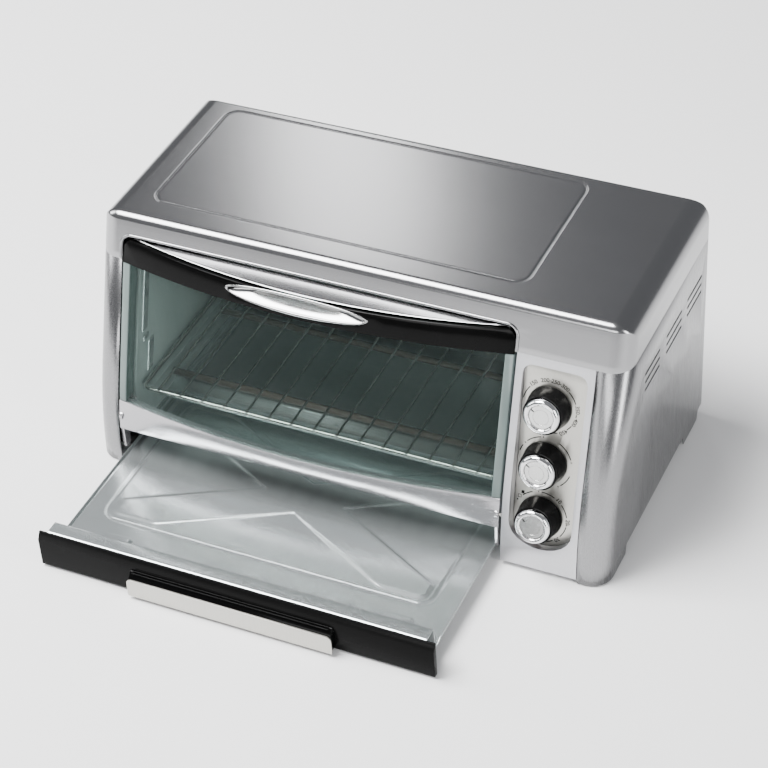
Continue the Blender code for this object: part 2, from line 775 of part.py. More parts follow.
def make_knob(name, row):
    """A tapered black skirt, a bright ring set in its tip and the shaft it turns."""
    place = plate_place(row * KNOB_PITCH, KNOB_X)
    seat = KNOB_HEIGHT - 0.0016
    socket = SHAFT_RADIUS + GAP
    wall = 0.0020
    skirt = [
        (0, seat),
        (RING_RADIUS + GAP, seat),
        (RING_RADIUS + GAP, KNOB_HEIGHT - 0.0003),
        (KNOB_TIP - 0.0004, KNOB_HEIGHT),
        (KNOB_TIP, KNOB_HEIGHT - 0.0005),
        (KNOB_BASE - 0.0003, KNOB_STAND + 0.0012),
        (KNOB_BASE, KNOB_STAND),
        (KNOB_BASE - wall, KNOB_STAND),
        (KNOB_TIP - wall - 0.0004, seat - 0.0022),
        (socket + 0.003, seat - 0.0022),
        (socket + 0.003, KNOB_STAND),
        (socket, KNOB_STAND),
        (socket, seat - 0.0022),
        (0, seat - 0.0022),
    ]
    turned(f"{name}_knob", skirt, place, black_plastic, steps=28)
    low = seat + GAP
    high = low + RING_HEIGHT + 0.0013
    dish = RING_RADIUS - 0.0048
    ring = [
        (0, high - 0.0016),
        (dish - 0.0006, high - 0.0014),
        (dish + 0.0006, high - 0.0004),
        (dish + 0.0018, high),
        (RING_RADIUS - 0.0016, high - 0.0010),
        (RING_RADIUS, low + 0.0016),
        (RING_RADIUS, low),
        (0, low),
    ]
    turned(f"{name}_knob_ring", ring, place, chrome, steps=28)
    shaft_end = -BRACKET_DEPTH - 0.0075
    shaft_top = seat - 0.0022 - GAP
    shaft = [(0, shaft_top), (SHAFT_RADIUS, shaft_top), (SHAFT_RADIUS, shaft_end), (0, shaft_end)]
    turned(f"{name}_shaft", shaft, place, tray_steel, steps=16)


def cavity_edge(z):
    return front_at(z, FRAME_SETBACK + SHEET + GAP)


def make_cavity():
    heights = [CAVITY_BOTTOM + (CAVITY_TOP - GAP - CAVITY_BOTTOM) * i / 8 for i in range(9)]
    start = CAVITY_BACK + SHEET + GAP
    outline = [(start, CAVITY_BOTTOM)] + [(cavity_edge(z), z) for z in heights]
    outline.append((start, CAVITY_TOP - GAP))
    sides = {"left": (CAVITY_LEFT - SHEET, CAVITY_LEFT), "right": (CAVITY_RIGHT, CAVITY_RIGHT + SHEET)}
    for label, (low, high) in sides.items():
        wall = slab(f"cavity_{label}_wall", outline, "X", low, high, cavity_steel)
        for row, z in (("lower", LOWER_HEATER_Z), ("upper", UPPER_HEATER_Z)):
            for forward in HEATER_FORWARD:
                circle = arc((forward, z), HEATER_RADIUS + GAP, 0, 330, 11)
                name = f"{label}_{row}_hole_{forward}"
                combine(wall, slab(name, circle, "X", low - 0.005, high + 0.005, None, cutters))
    roof_front = cavity_edge(CAVITY_TOP + SHEET)
    roof = rounded_box(CAVITY_LEFT - SHEET, CAVITY_RIGHT + SHEET, start, roof_front, (0.001,) * 4, 1)
    slab("cavity_roof", roof, "Z", CAVITY_TOP, CAVITY_TOP + SHEET, cavity_steel)
    edge = 0.010
    radii = (0.004,) * 4
    rings = [
        (CAVITY_BACK, CAVITY_LEFT - edge, CAVITY_RIGHT + edge, CAVITY_BOTTOM, CAVITY_TOP + 0.006, radii),
        *bump_rings(CAVITY_BACK, SHEET * 2 - REAR_BUMP + 0.003, 0.008),
    ]
    pressed_plate("cavity_back", rings, SHEET, cavity_steel)


def make_heaters():
    ends = (CAVITY_LEFT - 0.012, CAVITY_RIGHT + 0.010)
    for row, z in (("lower", LOWER_HEATER_Z), ("upper", UPPER_HEATER_Z)):
        for place, forward in zip(("rear", "front"), HEATER_FORWARD):
            points = [at(ends[0], forward, z), at(ends[1], forward, z)]
            rod(f"{row}_{place}_heater", points, HEATER_RADIUS, heater_steel, sides=4)


def make_reflector():
    """A bright trough beneath the front lower heater that throws its heat up."""
    middle = HEATER_FORWARD[1] + 0.010
    half = 0.016
    points = arc((middle, LOWER_HEATER_Z + 0.012), 0.022, 230, 310, 6)
    rim = points[0][1] + 0.001
    points = [(middle - half - 0.003, rim), *points, (middle + half + 0.003, rim)]
    ends = (CAVITY_LEFT + GAP, CAVITY_RIGHT - GAP)
    rings = [[at(x, forward, z) for forward, z in points] for x in ends]
    shape, _ = skin(rings, closed=False)
    face_towards(shape, Vector((0, 0, 1)))
    reflector = put("lower_reflector", mesh_of("lower_reflector", shape, True), tray_steel)
    thicken(reflector, TRAY_SHEET)


def make_rack_supports():
    """Folded ledges on the cavity walls that the rack slides on."""
    top = RACK_Z - RACK_WIRE - 2 * GAP
    for label, wall, way in (("left", CAVITY_LEFT, 1), ("right", CAVITY_RIGHT, -1)):
        near = wall + way * GAP
        far = wall + way * (RACK_CLEAR + 0.006)
        outline = [(near, top), (far, top), (far, top - 0.0012), (near + way * 0.0012, top - 0.0012)]
        outline += [(near + way * 0.0012, top - 0.008), (near, top - 0.008)]
        slab(f"rack_support_{label}", outline, "Y", CAVITY_BACK + 0.004, RACK_FRONT - 0.007, cavity_steel)


def make_tray_guides():
    """Folded channels on the bottom plate that carry the crumb tray's edges."""
    low = FOOT_HEIGHT + PANEL_CLEAR + SHEET + GAP
    for label, edge, way in (("left", TRAY_LEFT, -1), ("right", TRAY_RIGHT, 1)):
        near = edge + way * 0.0008
        far = near + way * 0.0010
        inner = near - way * 0.009
        outline = [(inner, low), (far, low), (far, low + 0.010)]
        outline += [(near, low + 0.010), (near, low + 0.0008), (inner, low + 0.0008)]
        slab(f"tray_guide_{label}", outline, "Y", 0.012, CASING_DEPTH - 0.043, tray_steel)


def bow_at(x, bow):
    """The door's forward bow in plan: nothing at its ends, the full bow at its middle."""
    return bow * (1 - ((x - DOOR_CENTRE) / DOOR_HALF) ** 2)


def door_stations(left, right, steps=14):
    return [left + (right - left) * i / steps for i in range(steps + 1)]


def door_surface(name, left, right, heights, bow, setback, thickness, finish):
    """A curved pane on the bowed door face, set back from it, with level edges."""
    rings = []
    stations = door_stations(left, right)
    for z in heights:
        ring = []
        for x in stations:
            ring.append(at(x, front_at(z) + bow_at(x, bow) - setback, z))
        for x in reversed(stations):
            ring.append(at(x, front_at(z) + bow_at(x, bow) - setback - thickness, z))
        rings.append(ring)
    shape, _ = skin(rings, first_cap=True, last_cap=True)
    return put(name, mesh_of(name, shape, True), finish)


def make_door_glass():
    low = BOTTOM_RAIL_TOP + GAP
    high = TOP_RAIL_Z - GAP
    left = DOOR_LEFT + TRIM_WIDTH + GAP
    right = DOOR_RIGHT - TRIM_WIDTH - GAP
    heights = [low, low + 0.013, *front_heights(0.09, high)]
    door_surface("door_glass", left, right, heights, GLASS_BOW, 0.0012, GLASS_THICK, tinted_glass)


def make_door_trims():
    low = BOTTOM_RAIL_TOP + GAP
    high = TOP_RAIL_Z - GAP
    sides = {"left": (DOOR_LEFT, DOOR_LEFT + TRIM_WIDTH), "right": (DOOR_RIGHT - TRIM_WIDTH, DOOR_RIGHT)}
    for label, (left, right) in sides.items():
        rings = []
        for z in front_heights(low, high):
            ring = []
            for x, setback in ((left, 0), (right, 0), (right, DOOR_THICK), (left, DOOR_THICK)):
                ring.append(at(x, front_at(z) + bow_at(x, GLASS_BOW) * (setback == 0) - setback, z))
            rings.append(ring)
        shape, _ = skin(rings, first_cap=True, last_cap=True)
        put(f"door_side_trim_{label}", mesh_of("door_side_trim", shape), satin_silver)


def section_sweep(name, section, finish, collection=parts, left=DOOR_LEFT, right=DOOR_RIGHT):
    """A solid across the door; section(x) gives its (forward, z) outline there."""
    rings = [[at(x, forward, z) for forward, z in section(x)] for x in door_stations(left, right, 20)]
    shape, _ = skin(rings, first_cap=True, last_cap=True)
    return put(name, mesh_of(name, shape, True), finish, collection)


def top_rail_face(x):
    """The black rail's face from its lower edge to where it turns back under the ledge."""
    bow = bow_at(x, DOOR_BOW)
    top = OPENING_TOP - 0.0020 - 0.15 * bow
    points = []
    for i in range(5):
        z = TOP_RAIL_Z + (top - 0.0022 - TOP_RAIL_Z) * i / 4
        points.append((front_at(z) + bow, z))
    forward, z = points[-1]
    points.append((forward - 0.0008, z + 0.0016))
    points.append((forward - 0.0026, z + 0.0022))
    return points


def rail_section(x):
    face = top_rail_face(x)
    top = face[-1]
    back = front_at(TOP_RAIL_Z) - DOOR_THICK + 0.3 * bow_at(x, DOOR_BOW)
    return face + [(top[0] - 0.0012, top[1] - 0.0016), (back - 0.004, top[1] - 0.0016), (back, TOP_RAIL_Z)]


def scoop_shape(name, shrink):
    """A boat-shaped hollow, lying along the rail."""
    forward = front_at(SCOOP_Z) + bow_at(SCOOP_X, DOOR_BOW) + 0.001
    shape = bmesh.new()
    bmesh.ops.create_uvsphere(shape, u_segments=24, v_segments=12, radius=1.0)
    size = (SCOOP_LENGTH / 2 - shrink, SCOOP_DEPTH - shrink, SCOOP_HEIGHT / 2 - shrink)
    bmesh.ops.scale(shape, vec=size, verts=shape.verts)
    made = put(name, mesh_of(name, shape, True), None, cutters)
    made.location = at(SCOOP_X, forward, SCOOP_Z)
    made.rotation_euler = (-FRONT_LEAN, 0, 0)
    return made


def make_door_top():
    margin = DOOR_GAP
    corner = OPENING_CORNER + 2 * margin
    radii = (0.001, 0.001, corner, corner)
    outline = rounded_box(DOOR_LEFT, DOOR_RIGHT, BOTTOM_RAIL_TOP, OPENING_TOP - margin, radii)
    clear = slab("door_clearance", outline, "Y", CASING_DEPTH - 0.14, CASING_DEPTH + 0.06, None, cutters)
    rail = section_sweep("door_top_rail", rail_section, black_gloss)
    combine(rail, clear, "INTERSECT")
    combine(rail, scoop_shape("scoop_hole", 0.0))
    reach = SCOOP_LENGTH / 2 + 0.0065
    span = (SCOOP_X - reach, SCOOP_X + reach)
    scoop = section_sweep("door_handle_scoop", scoop_blank_section, chrome, parts, *span)
    combine(scoop, scoop_shape("scoop_outside", GAP), "INTERSECT")
    combine(scoop, scoop_shape("scoop_inside", GAP + SCOOP_WALL))
    ledge = section_sweep("door_top_ledge", ledge_section, brushed_steel)
    combine(ledge, clear, "INTERSECT")


def scoop_blank_section(x):
    """The part of the rail that the scoop is let into, just behind its face."""
    bow = bow_at(x, DOOR_BOW)
    low = SCOOP_Z - 0.0105
    high = SCOOP_Z + 0.0105
    points = []
    for i in range(4):
        z = low + (high - low) * i / 3
        points.append((front_at(z) + bow - GAP, z))
    return points + [(front_at(high) + bow - 0.025, high), (front_at(low) + bow - 0.025, low)]


def ledge_section(x):
    """Bright strip on top of the rail, from under the casing's lip to the bowed edge."""
    top = top_rail_face(x)[-1]
    z = top[1] - 0.0016 + GAP
    front = top[0] - 0.0012 - GAP
    back = front_at(TOP_RAIL_Z) - DOOR_THICK + 0.3 * bow_at(x, DOOR_BOW) - 0.004
    rise = 0.0013
    return [(front, z), (front, z + rise), (back, z + rise), (back, z)]


def bottom_rail_section(x):
    bow = bow_at(x, RAIL_BOW)
    points = []
    for i in range(6):
        share = i / 5
        z = BOTTOM_RAIL_Z + (BOTTOM_RAIL_TOP - BOTTOM_RAIL_Z) * share
        points.append((front_at(z) + bow * math.sin(share * math.pi / 2), z))
    back = front_at(BOTTOM_RAIL_Z) - DOOR_THICK * 0.7
    points.append((front_at(BOTTOM_RAIL_TOP) + bow - 0.0075, BOTTOM_RAIL_TOP))
    points.append((back + bow * 0.3, BOTTOM_RAIL_Z + 0.010))
    points.append((back, BOTTOM_RAIL_Z + 0.0025))
    return points


def leg_span(label):
    """Where a door leg and its knuckle lie across the door."""
    if label == "left":
        return DOOR_LEFT + LEG_INSET, DOOR_LEFT + LEG_INSET + LEG_WIDTH
    return DOOR_RIGHT - LEG_INSET - LEG_WIDTH, DOOR_RIGHT - LEG_INSET


def make_door_bottom():
    """Rail with a leg and a hinge knuckle at each end."""
    rail = section_sweep("door_bottom_rail", bottom_rail_section, satin_silver)
    back = PIVOT_FORWARD - 0.0055
    front = front_at(BOTTOM_RAIL_Z) - 0.0004
    low = BOTTOM_RAIL_Z - LEG_DROP
    for label, way in (("left", -1), ("right", 1)):
        left, right = leg_span(label)
        outline = rounded_box(back, front, low, BOTTOM_RAIL_Z + 0.004, (0.003,) * 4, 3)
        combine(rail, slab(f"door_leg_{label}", outline, "X", left, right, None, cutters), "UNION")
        circle = arc((PIVOT_FORWARD, PIVOT_Z), KNUCKLE_RADIUS, 0, 342, 19)
        combine(rail, slab(f"knuckle_{label}", circle, "X", left, right, None, cutters), "UNION")
        outer = left if way < 0 else right
        reach = sorted((outer - way * PIN_DEPTH, outer + way * 0.002))
        circle = arc((PIVOT_FORWARD, PIVOT_Z), PIVOT_RADIUS + GAP, 0, 330, 11)
        combine(rail, slab(f"pin_hole_{label}", circle, "X", *reach, None, cutters))


def make_hinge_pins():
    """Short pins on the casing's edges that the door's knuckles turn on."""
    reach = PIN_DEPTH - GAP
    ends = {
        "left": (OPENING_LEFT + GAP, leg_span("left")[0] + reach),
        "right": (leg_span("right")[1] - reach, PANEL_LEFT - GAP),
    }
    for label, (left, right) in ends.items():
        points = [at(left, PIVOT_FORWARD, PIVOT_Z), at(right, PIVOT_FORWARD, PIVOT_Z)]
        rod(f"hinge_pin_{label}", points, PIVOT_RADIUS, rack_chrome, sides=4)


def make_rack():
    left = CAVITY_LEFT + RACK_CLEAR
    right = CAVITY_RIGHT - RACK_CLEAR
    corner = 0.006
    low = RACK_Z
    frame_points = rounded_box(left, right, RACK_REAR, RACK_FRONT, (corner,) * 4, 3)
    curve_points = [at(x, forward, low) for x, forward in frame_points]
    curve = bpy.data.curves.new("wire_rack", "CURVE")
    curve.dimensions = "3D"
    curve.bevel_depth = RACK_WIRE + 0.0001
    curve.bevel_resolution = 2
    spline = curve.splines.new("POLY")
    spline.points.add(len(curve_points) - 1)
    for point, place in zip(spline.points, curve_points):
        point.co = (*place, 1)
    spline.use_cyclic_u = True
    rack = solid_curve("wire_rack", curve, Matrix.Identity(4), rack_chrome, parts, True)
    lift = RACK_WIRE * 1.3
    for number in range(RACK_WIRES):
        x = DOOR_CENTRE + (number - (RACK_WIRES - 1) / 2) * RACK_PITCH
        points = [at(x, RACK_REAR - 0.0010, low + lift), at(x, RACK_FRONT + 0.0012, low + lift)]
        combine(rack, rod(f"rack_wire_{number}", points, RACK_WIRE * 0.8, None, cutters, sides=1), "UNION")
    middle = (RACK_REAR + RACK_FRONT) / 2 - 0.001
    points = [at(left, middle, low), at(right, middle, low)]
    combine(rack, rod("rack_cross_wire", points, RACK_WIRE * 0.8, None, cutters, sides=1), "UNION")


def make_tray():
    """Folded sheet: a flat floor with a low lip at its back and sides, and a shelf at its front."""
    rear = TRAY_REAR + TRAY_OUT
    wall = FASCIA_BACK - TRAY_WALL
    top = SHELF_Z
    sides = (TRAY_LEFT + TRAY_SHEET, TRAY_RIGHT - TRAY_SHEET)
    shape = bmesh.new()
    rear_edge = [shape.verts.new(at(x, rear, TRAY_Z)) for x in sides]
    front_edge = [shape.verts.new(at(x, wall, TRAY_Z)) for x in sides]
    shape.faces.new((rear_edge[0], rear_edge[1], front_edge[1], front_edge[0]))
    shelf_back = [shape.verts.new(at(x, wall + 0.001, top)) for x in sides]
    shelf_front = [shape.verts.new(at(x, FASCIA_BACK - GAP, top)) for x in sides]
    shape.faces.new((front_edge[0], front_edge[1], shelf_back[1], shelf_back[0]))
    shape.faces.new((shelf_back[0], shelf_back[1], shelf_front[1], shelf_front[0]))
    for i in (0, 1):
        lip_rear = shape.verts.new(rear_edge[i].co + Vector((0, 0, TRAY_LIP)))
        lip_front = shape.verts.new(front_edge[i].co + Vector((0, TRAY_LIP * 4 / 3, TRAY_LIP)))
        shape.faces.new((rear_edge[i], front_edge[i], lip_front, lip_rear))
    bmesh.ops.recalc_face_normals(shape, faces=shape.faces)
    face_towards(shape, Vector((0, 0, 1)))
    tray = put("crumb_tray", mesh_of("crumb_tray", shape), tray_steel)
    thicken(tray, TRAY_SHEET)


def make_tray_front():
    back = FASCIA_BACK
    front = back + FASCIA_THICK
    outline = [(back, FASCIA_LOW), (front - 0.0008, FASCIA_LOW), (front, FASCIA_LOW + 0.0008)]
    outline += [(front, FASCIA_CREASE), (back + 0.0015, FASCIA_HIGH), (back, FASCIA_HIGH)]
    slab("tray_fascia", outline, "X", FASCIA_LEFT, FASCIA_RIGHT, black_plastic)
    left = GRIP_CENTRE - GRIP_WIDTH / 2
    right = GRIP_CENTRE + GRIP_WIDTH / 2
    root = front + GAP
    face = front + GRIP_STAND
    outline = [(root, GRIP_LOW + 0.001), (face, GRIP_LOW + 0.001), (face, GRIP_HIGH - 0.001)]
    step = FASCIA_CREASE - 0.004
    outline += [(face - 0.0015, GRIP_HIGH + 0.0012), (root + 0.0012, step), (root, step)]
    slab("tray_grip", outline, "X", left + 0.001, right - 0.001, black_plastic)
    plate = rounded_box(left, right, GRIP_LOW, GRIP_HIGH, (0.001, 0.001, 0.004, 0.004), 3)
    slab("grip_plate", plate, "Y", face + GAP, face + GAP + GRIP_PLATE, nickel)


make_top_cover()
make_side_panel("left_side_panel", -1, -OPENING_LEFT)
make_side_panel("right_side_panel", 1, WRAP_EDGE)
make_rear_panel()
make_gland()
make_rear_screws()
make_bottom_plate()
make_foot_pads()
make_front_frame()
make_control_panel()
make_dial_plate()
make_indicator()
make_controls()
for knob_name, knob_row in knob_names():
    make_knob(knob_name, knob_row)
make_cavity()
make_heaters()
make_reflector()
make_rack_supports()
make_tray_guides()
make_door_glass()
make_door_trims()
make_door_top()
make_door_bottom()
make_hinge_pins()
make_rack()
make_tray()
make_tray_front()
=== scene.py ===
import math

import bmesh
import bpy
from mathutils import Matrix, Vector


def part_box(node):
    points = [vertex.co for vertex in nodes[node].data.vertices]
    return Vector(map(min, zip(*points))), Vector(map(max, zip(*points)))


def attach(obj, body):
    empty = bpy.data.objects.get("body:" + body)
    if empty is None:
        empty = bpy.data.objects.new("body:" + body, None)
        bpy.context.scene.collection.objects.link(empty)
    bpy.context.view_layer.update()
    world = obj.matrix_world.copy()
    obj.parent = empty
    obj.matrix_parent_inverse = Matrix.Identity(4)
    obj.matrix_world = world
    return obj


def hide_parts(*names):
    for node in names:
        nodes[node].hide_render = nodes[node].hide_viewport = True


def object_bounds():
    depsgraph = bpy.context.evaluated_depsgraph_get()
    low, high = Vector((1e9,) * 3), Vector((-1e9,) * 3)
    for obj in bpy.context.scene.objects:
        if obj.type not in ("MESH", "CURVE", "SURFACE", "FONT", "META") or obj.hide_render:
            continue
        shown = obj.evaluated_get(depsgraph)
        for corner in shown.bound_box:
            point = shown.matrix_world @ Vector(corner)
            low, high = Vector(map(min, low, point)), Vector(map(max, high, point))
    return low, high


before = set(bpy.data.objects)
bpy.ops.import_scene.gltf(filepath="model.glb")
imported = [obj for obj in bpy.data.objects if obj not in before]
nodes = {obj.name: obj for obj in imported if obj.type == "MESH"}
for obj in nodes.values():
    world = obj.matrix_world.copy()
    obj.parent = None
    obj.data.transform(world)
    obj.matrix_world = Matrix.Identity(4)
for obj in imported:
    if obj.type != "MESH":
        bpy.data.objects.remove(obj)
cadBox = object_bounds()
print("frame loaded:", len(nodes), "nodes")

coverLow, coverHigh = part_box("top_cover")
rearY = coverHigh.y
halfWidth = (coverHigh.x - coverLow.x) / 2
topZ = coverHigh.z

# the casing's front in side view is an arc that runs into a straight, leaning face
casing = {
    "depth": 0.241,
    "lean": math.radians(17.2),
    "radius": 0.335,
    "centreZ": -0.010,
    "corner": 0.018,
    "topFold": 0.008,
    "rearFold": 0.005,
    "sheet": 0.0009,
}
seamZ = coverLow.z
arcCentre = casing["depth"] - casing["radius"]


def at(x, forward, z):
    return Vector((x, rearY - forward, z))


def forwardOf(y):
    return rearY - y


def frontAt(z, inset=0.0):
    radius = casing["radius"] - inset
    lean = casing["lean"]
    straightZ = casing["centreZ"] + radius * math.sin(lean)
    if z <= straightZ:
        return arcCentre + math.sqrt(radius**2 - (z - casing["centreZ"]) ** 2)
    return arcCentre + radius * math.cos(lean) - (z - straightZ) * math.tan(lean)


def arc(centre, radius, start, end, steps):
    points = []
    for i in range(steps + 1):
        angle = math.radians(start + (end - start) * i / steps)
        points.append((centre[0] + radius * math.cos(angle), centre[1] + radius * math.sin(angle)))
    return points


def smooth(value, low, high):
    share = min(max((value - low) / (high - low), 0.0), 1.0)
    return share * share * (3 - 2 * share)


def spread(low, high, count):
    return [low + (high - low) * i / count for i in range(count + 1)]


# ---- materials


class Wire:
    # one socket's value, so that shader sums read as plain maths
    def __init__(self, finish, socket):
        self.finish = finish
        self.socket = socket

    def sum(self, operation, first, second=None, clamp=False):
        values = {0: first} if second is None else {0: first, 1: second}
        settings = {"operation": operation, "use_clamp": clamp}
        return self.finish.node("ShaderNodeMath", settings, values)

    def __add__(self, other):
        return self.sum("ADD", self, other)

    def __radd__(self, other):
        return self.sum("ADD", other, self)

    def __sub__(self, other):
        return self.sum("SUBTRACT", self, other)

    def __rsub__(self, other):
        return self.sum("SUBTRACT", other, self)

    def __mul__(self, other):
        return self.sum("MULTIPLY", self, other)

    def __rmul__(self, other):
        return self.sum("MULTIPLY", other, self)

    def clamped(self):
        return self.sum("ADD", self, 0.0, clamp=True)


class Finish:
    # a material and the one method that adds nodes to it
    def __init__(self, name):
        self.material = bpy.data.materials.new(name)
        self.material.use_nodes = True
        self.tree = self.material.node_tree
        self.shader = self.tree.nodes["Principled BSDF"]

    def feed(self, socket, value):
        if isinstance(value, Wire):
            self.tree.links.new(value.socket, socket)
        else:
            socket.default_value = value

    def node(self, kind, settings=None, sockets=None, out=0):
        made = self.tree.nodes.new(kind)
        for key, value in (settings or {}).items():
            if key == "stops":
                self.setStops(made.color_ramp, value)
            else:
                setattr(made, key, value)
        for key, value in (sockets or {}).items():
            self.feed(made.inputs[key], value)
        return Wire(self, made.outputs[out])

    def setStops(self, ramp, stops):
        while len(ramp.elements) < len(stops):
            ramp.elements.new(1.0)
        for element, (place, colour) in zip(ramp.elements, stops):
            element.position = place
            element.color = colour

    def surface(self, **sockets):
        for key, value in sockets.items():
            self.feed(self.shader.inputs[key.replace("_", " ")], value)

    def place(self, scale=(1, 1, 1)):
        # piece coordinates in metres, stretched
        point = self.node("ShaderNodeTexCoord", out="Object")
        return self.node("ShaderNodeMapping", {"vector_type": "POINT"}, {"Vector": point, "Scale": scale})

    def noise(self, scale, stretch=(1, 1, 1), detail=2.0, roughness=0.5):
        sockets = {"Vector": self.place(stretch), "Scale": scale, "Detail": detail, "Roughness": roughness}
        return self.node("ShaderNodeTexNoise", {}, sockets)

    def tint(self, factor, first, second):
        # a colour between two, by a number
        sockets = {0: factor, 6: (*first, 1.0), 7: (*second, 1.0)}
        return self.node("ShaderNodeMix", {"data_type": "RGBA"}, sockets, out=2)

    def bump(self, height, strength, distance=0.001):
        sockets = {"Height": height, "Strength": strength, "Distance": distance}
        return self.node("ShaderNodeBump", {}, sockets)


# shares of the wide streaks, fine streaks and clouds in a metal's pattern
brush = {"wide": 0.55, "fine": 0.25, "cloud": 0.20, "fineScale": 2.7, "depth": 0.0002}


def metalFinish(name, look):
    # brushed or satin sheet: fine streaks along one way over broad, faint cloudiness
    finish = Finish(name)
    streaks = finish.noise(1.0, look["streaks"], 3.0, 0.6)
    fine = finish.noise(1.0, tuple(brush["fineScale"] * s for s in look["streaks"]), 2.0)
    cloud = finish.noise(look.get("cloud", 14.0), detail=3.0)
    mixed = streaks * brush["wide"] + fine * brush["fine"] + cloud * brush["cloud"]
    rough = look["rough"] + (mixed - 0.5) * look["roughSpread"]
    finish.surface(
        Base_Color=finish.tint(mixed, look["dark"], look["light"]),
        Metallic=look.get("metallic", 1.0),
        Roughness=rough.clamped(),
        Normal=finish.bump(streaks * 0.7 + fine * 0.3, look["bump"], brush["depth"]),
    )
    return finish.material


def plasticFinish(name, look):
    # moulded plastic with a fine grain and a faint unevenness of gloss
    finish = Finish(name)
    grain = finish.noise(look["grain"], detail=2.0)
    cloud = finish.noise(22.0, detail=3.0)
    rough = look["rough"] + (cloud - 0.5) * look["roughSpread"] + (grain - 0.5) * 0.04
    finish.surface(
        Base_Color=finish.tint(cloud, look["dark"], look["light"]),
        Roughness=rough.clamped(),
        Coat_Weight=look.get("coat", 0.0),
        Normal=finish.bump(grain, look["bump"], 0.0002),
    )
    finish.shader.inputs["Coat Roughness"].default_value = 0.05
    finish.shader.inputs["IOR"].default_value = 1.5
    finish.shader.inputs["Specular IOR Level"].default_value = look.get("specular", 0.12)
    return finish.material


alongX = (7.0, 1100.0, 1100.0)
alongZ = (1300.0, 1300.0, 9.0)
metals = {
    "brushedSteel": {
        "streaks": alongX, "dark": (0.27, 0.27, 0.275), "light": (0.35, 0.35, 0.355),
        "rough": 0.21, "roughSpread": 0.08, "bump": 0.05,
    },
    "sideSteel": {
        "streaks": alongZ, "dark": (0.22, 0.22, 0.225), "light": (0.29, 0.29, 0.295),
        "rough": 0.27, "roughSpread": 0.08, "bump": 0.03,
    },
    "satinSilver": {
        "streaks": (500, 500, 500), "dark": (0.48, 0.48, 0.50), "light": (0.60, 0.60, 0.62),
        "rough": 0.40, "roughSpread": 0.10, "bump": 0.05, "metallic": 0.8,
    },
    "railSilver": {
        "streaks": (10, 900, 900), "dark": (0.36, 0.355, 0.37), "light": (0.46, 0.455, 0.47),
        "rough": 0.26, "roughSpread": 0.10, "bump": 0.05, "metallic": 0.8,
    },
    "warmNickel": {
        "streaks": (900, 900, 14), "dark": (0.42, 0.41, 0.375), "light": (0.56, 0.55, 0.51),
        "rough": 0.30, "roughSpread": 0.16, "bump": 0.08, "metallic": 0.9,
    },
    "brightChrome": {
        "streaks": (60, 60, 60), "dark": (0.70, 0.70, 0.70), "light": (0.80, 0.80, 0.80),
        "rough": 0.09, "roughSpread": 0.01, "bump": 0.0,
    },
    "dishChrome": {
        "streaks": (30, 200, 200), "dark": (0.34, 0.34, 0.34), "light": (0.46, 0.46, 0.455),
        "rough": 0.15, "roughSpread": 0.05, "bump": 0.01,
    },
    "satinDisc": {
        "streaks": (900, 30, 900), "dark": (0.52, 0.52, 0.51), "light": (0.68, 0.68, 0.67),
        "rough": 0.24, "roughSpread": 0.12, "bump": 0.05,
    },
    "galvanised": {
        "streaks": (40, 500, 500), "dark": (0.44, 0.475, 0.48), "light": (0.58, 0.62, 0.62),
        "rough": 0.22, "roughSpread": 0.06, "bump": 0.02, "metallic": 0.85,
    },
    "ovenLining": {
        "streaks": (260, 260, 8), "dark": (0.30, 0.32, 0.315), "light": (0.44, 0.46, 0.455),
        "rough": 0.38, "roughSpread": 0.14, "bump": 0.06, "metallic": 0.35, "cloud": 30.0,
    },
    "reflectorSheet": {
        "streaks": (12, 500, 500), "dark": (0.74, 0.77, 0.78), "light": (0.86, 0.89, 0.90),
        "rough": 0.16, "roughSpread": 0.10, "bump": 0.03, "metallic": 0.8,
    },
    "heaterSheath": {
        "streaks": (300, 900, 900), "dark": (0.06, 0.04, 0.032), "light": (0.14, 0.095, 0.08),
        "rough": 0.52, "roughSpread": 0.2, "bump": 0.15, "metallic": 0.3,
    },
    "rackPlating": {
        "streaks": (200, 200, 200), "dark": (0.40, 0.39, 0.37), "light": (0.58, 0.57, 0.54),
        "rough": 0.20, "roughSpread": 0.12, "bump": 0.03,
    },
    "bracketSteel": {
        "streaks": (60, 400, 400), "dark": (0.34, 0.35, 0.35), "light": (0.48, 0.49, 0.49),
        "rough": 0.40, "roughSpread": 0.16, "bump": 0.06,
    },
}
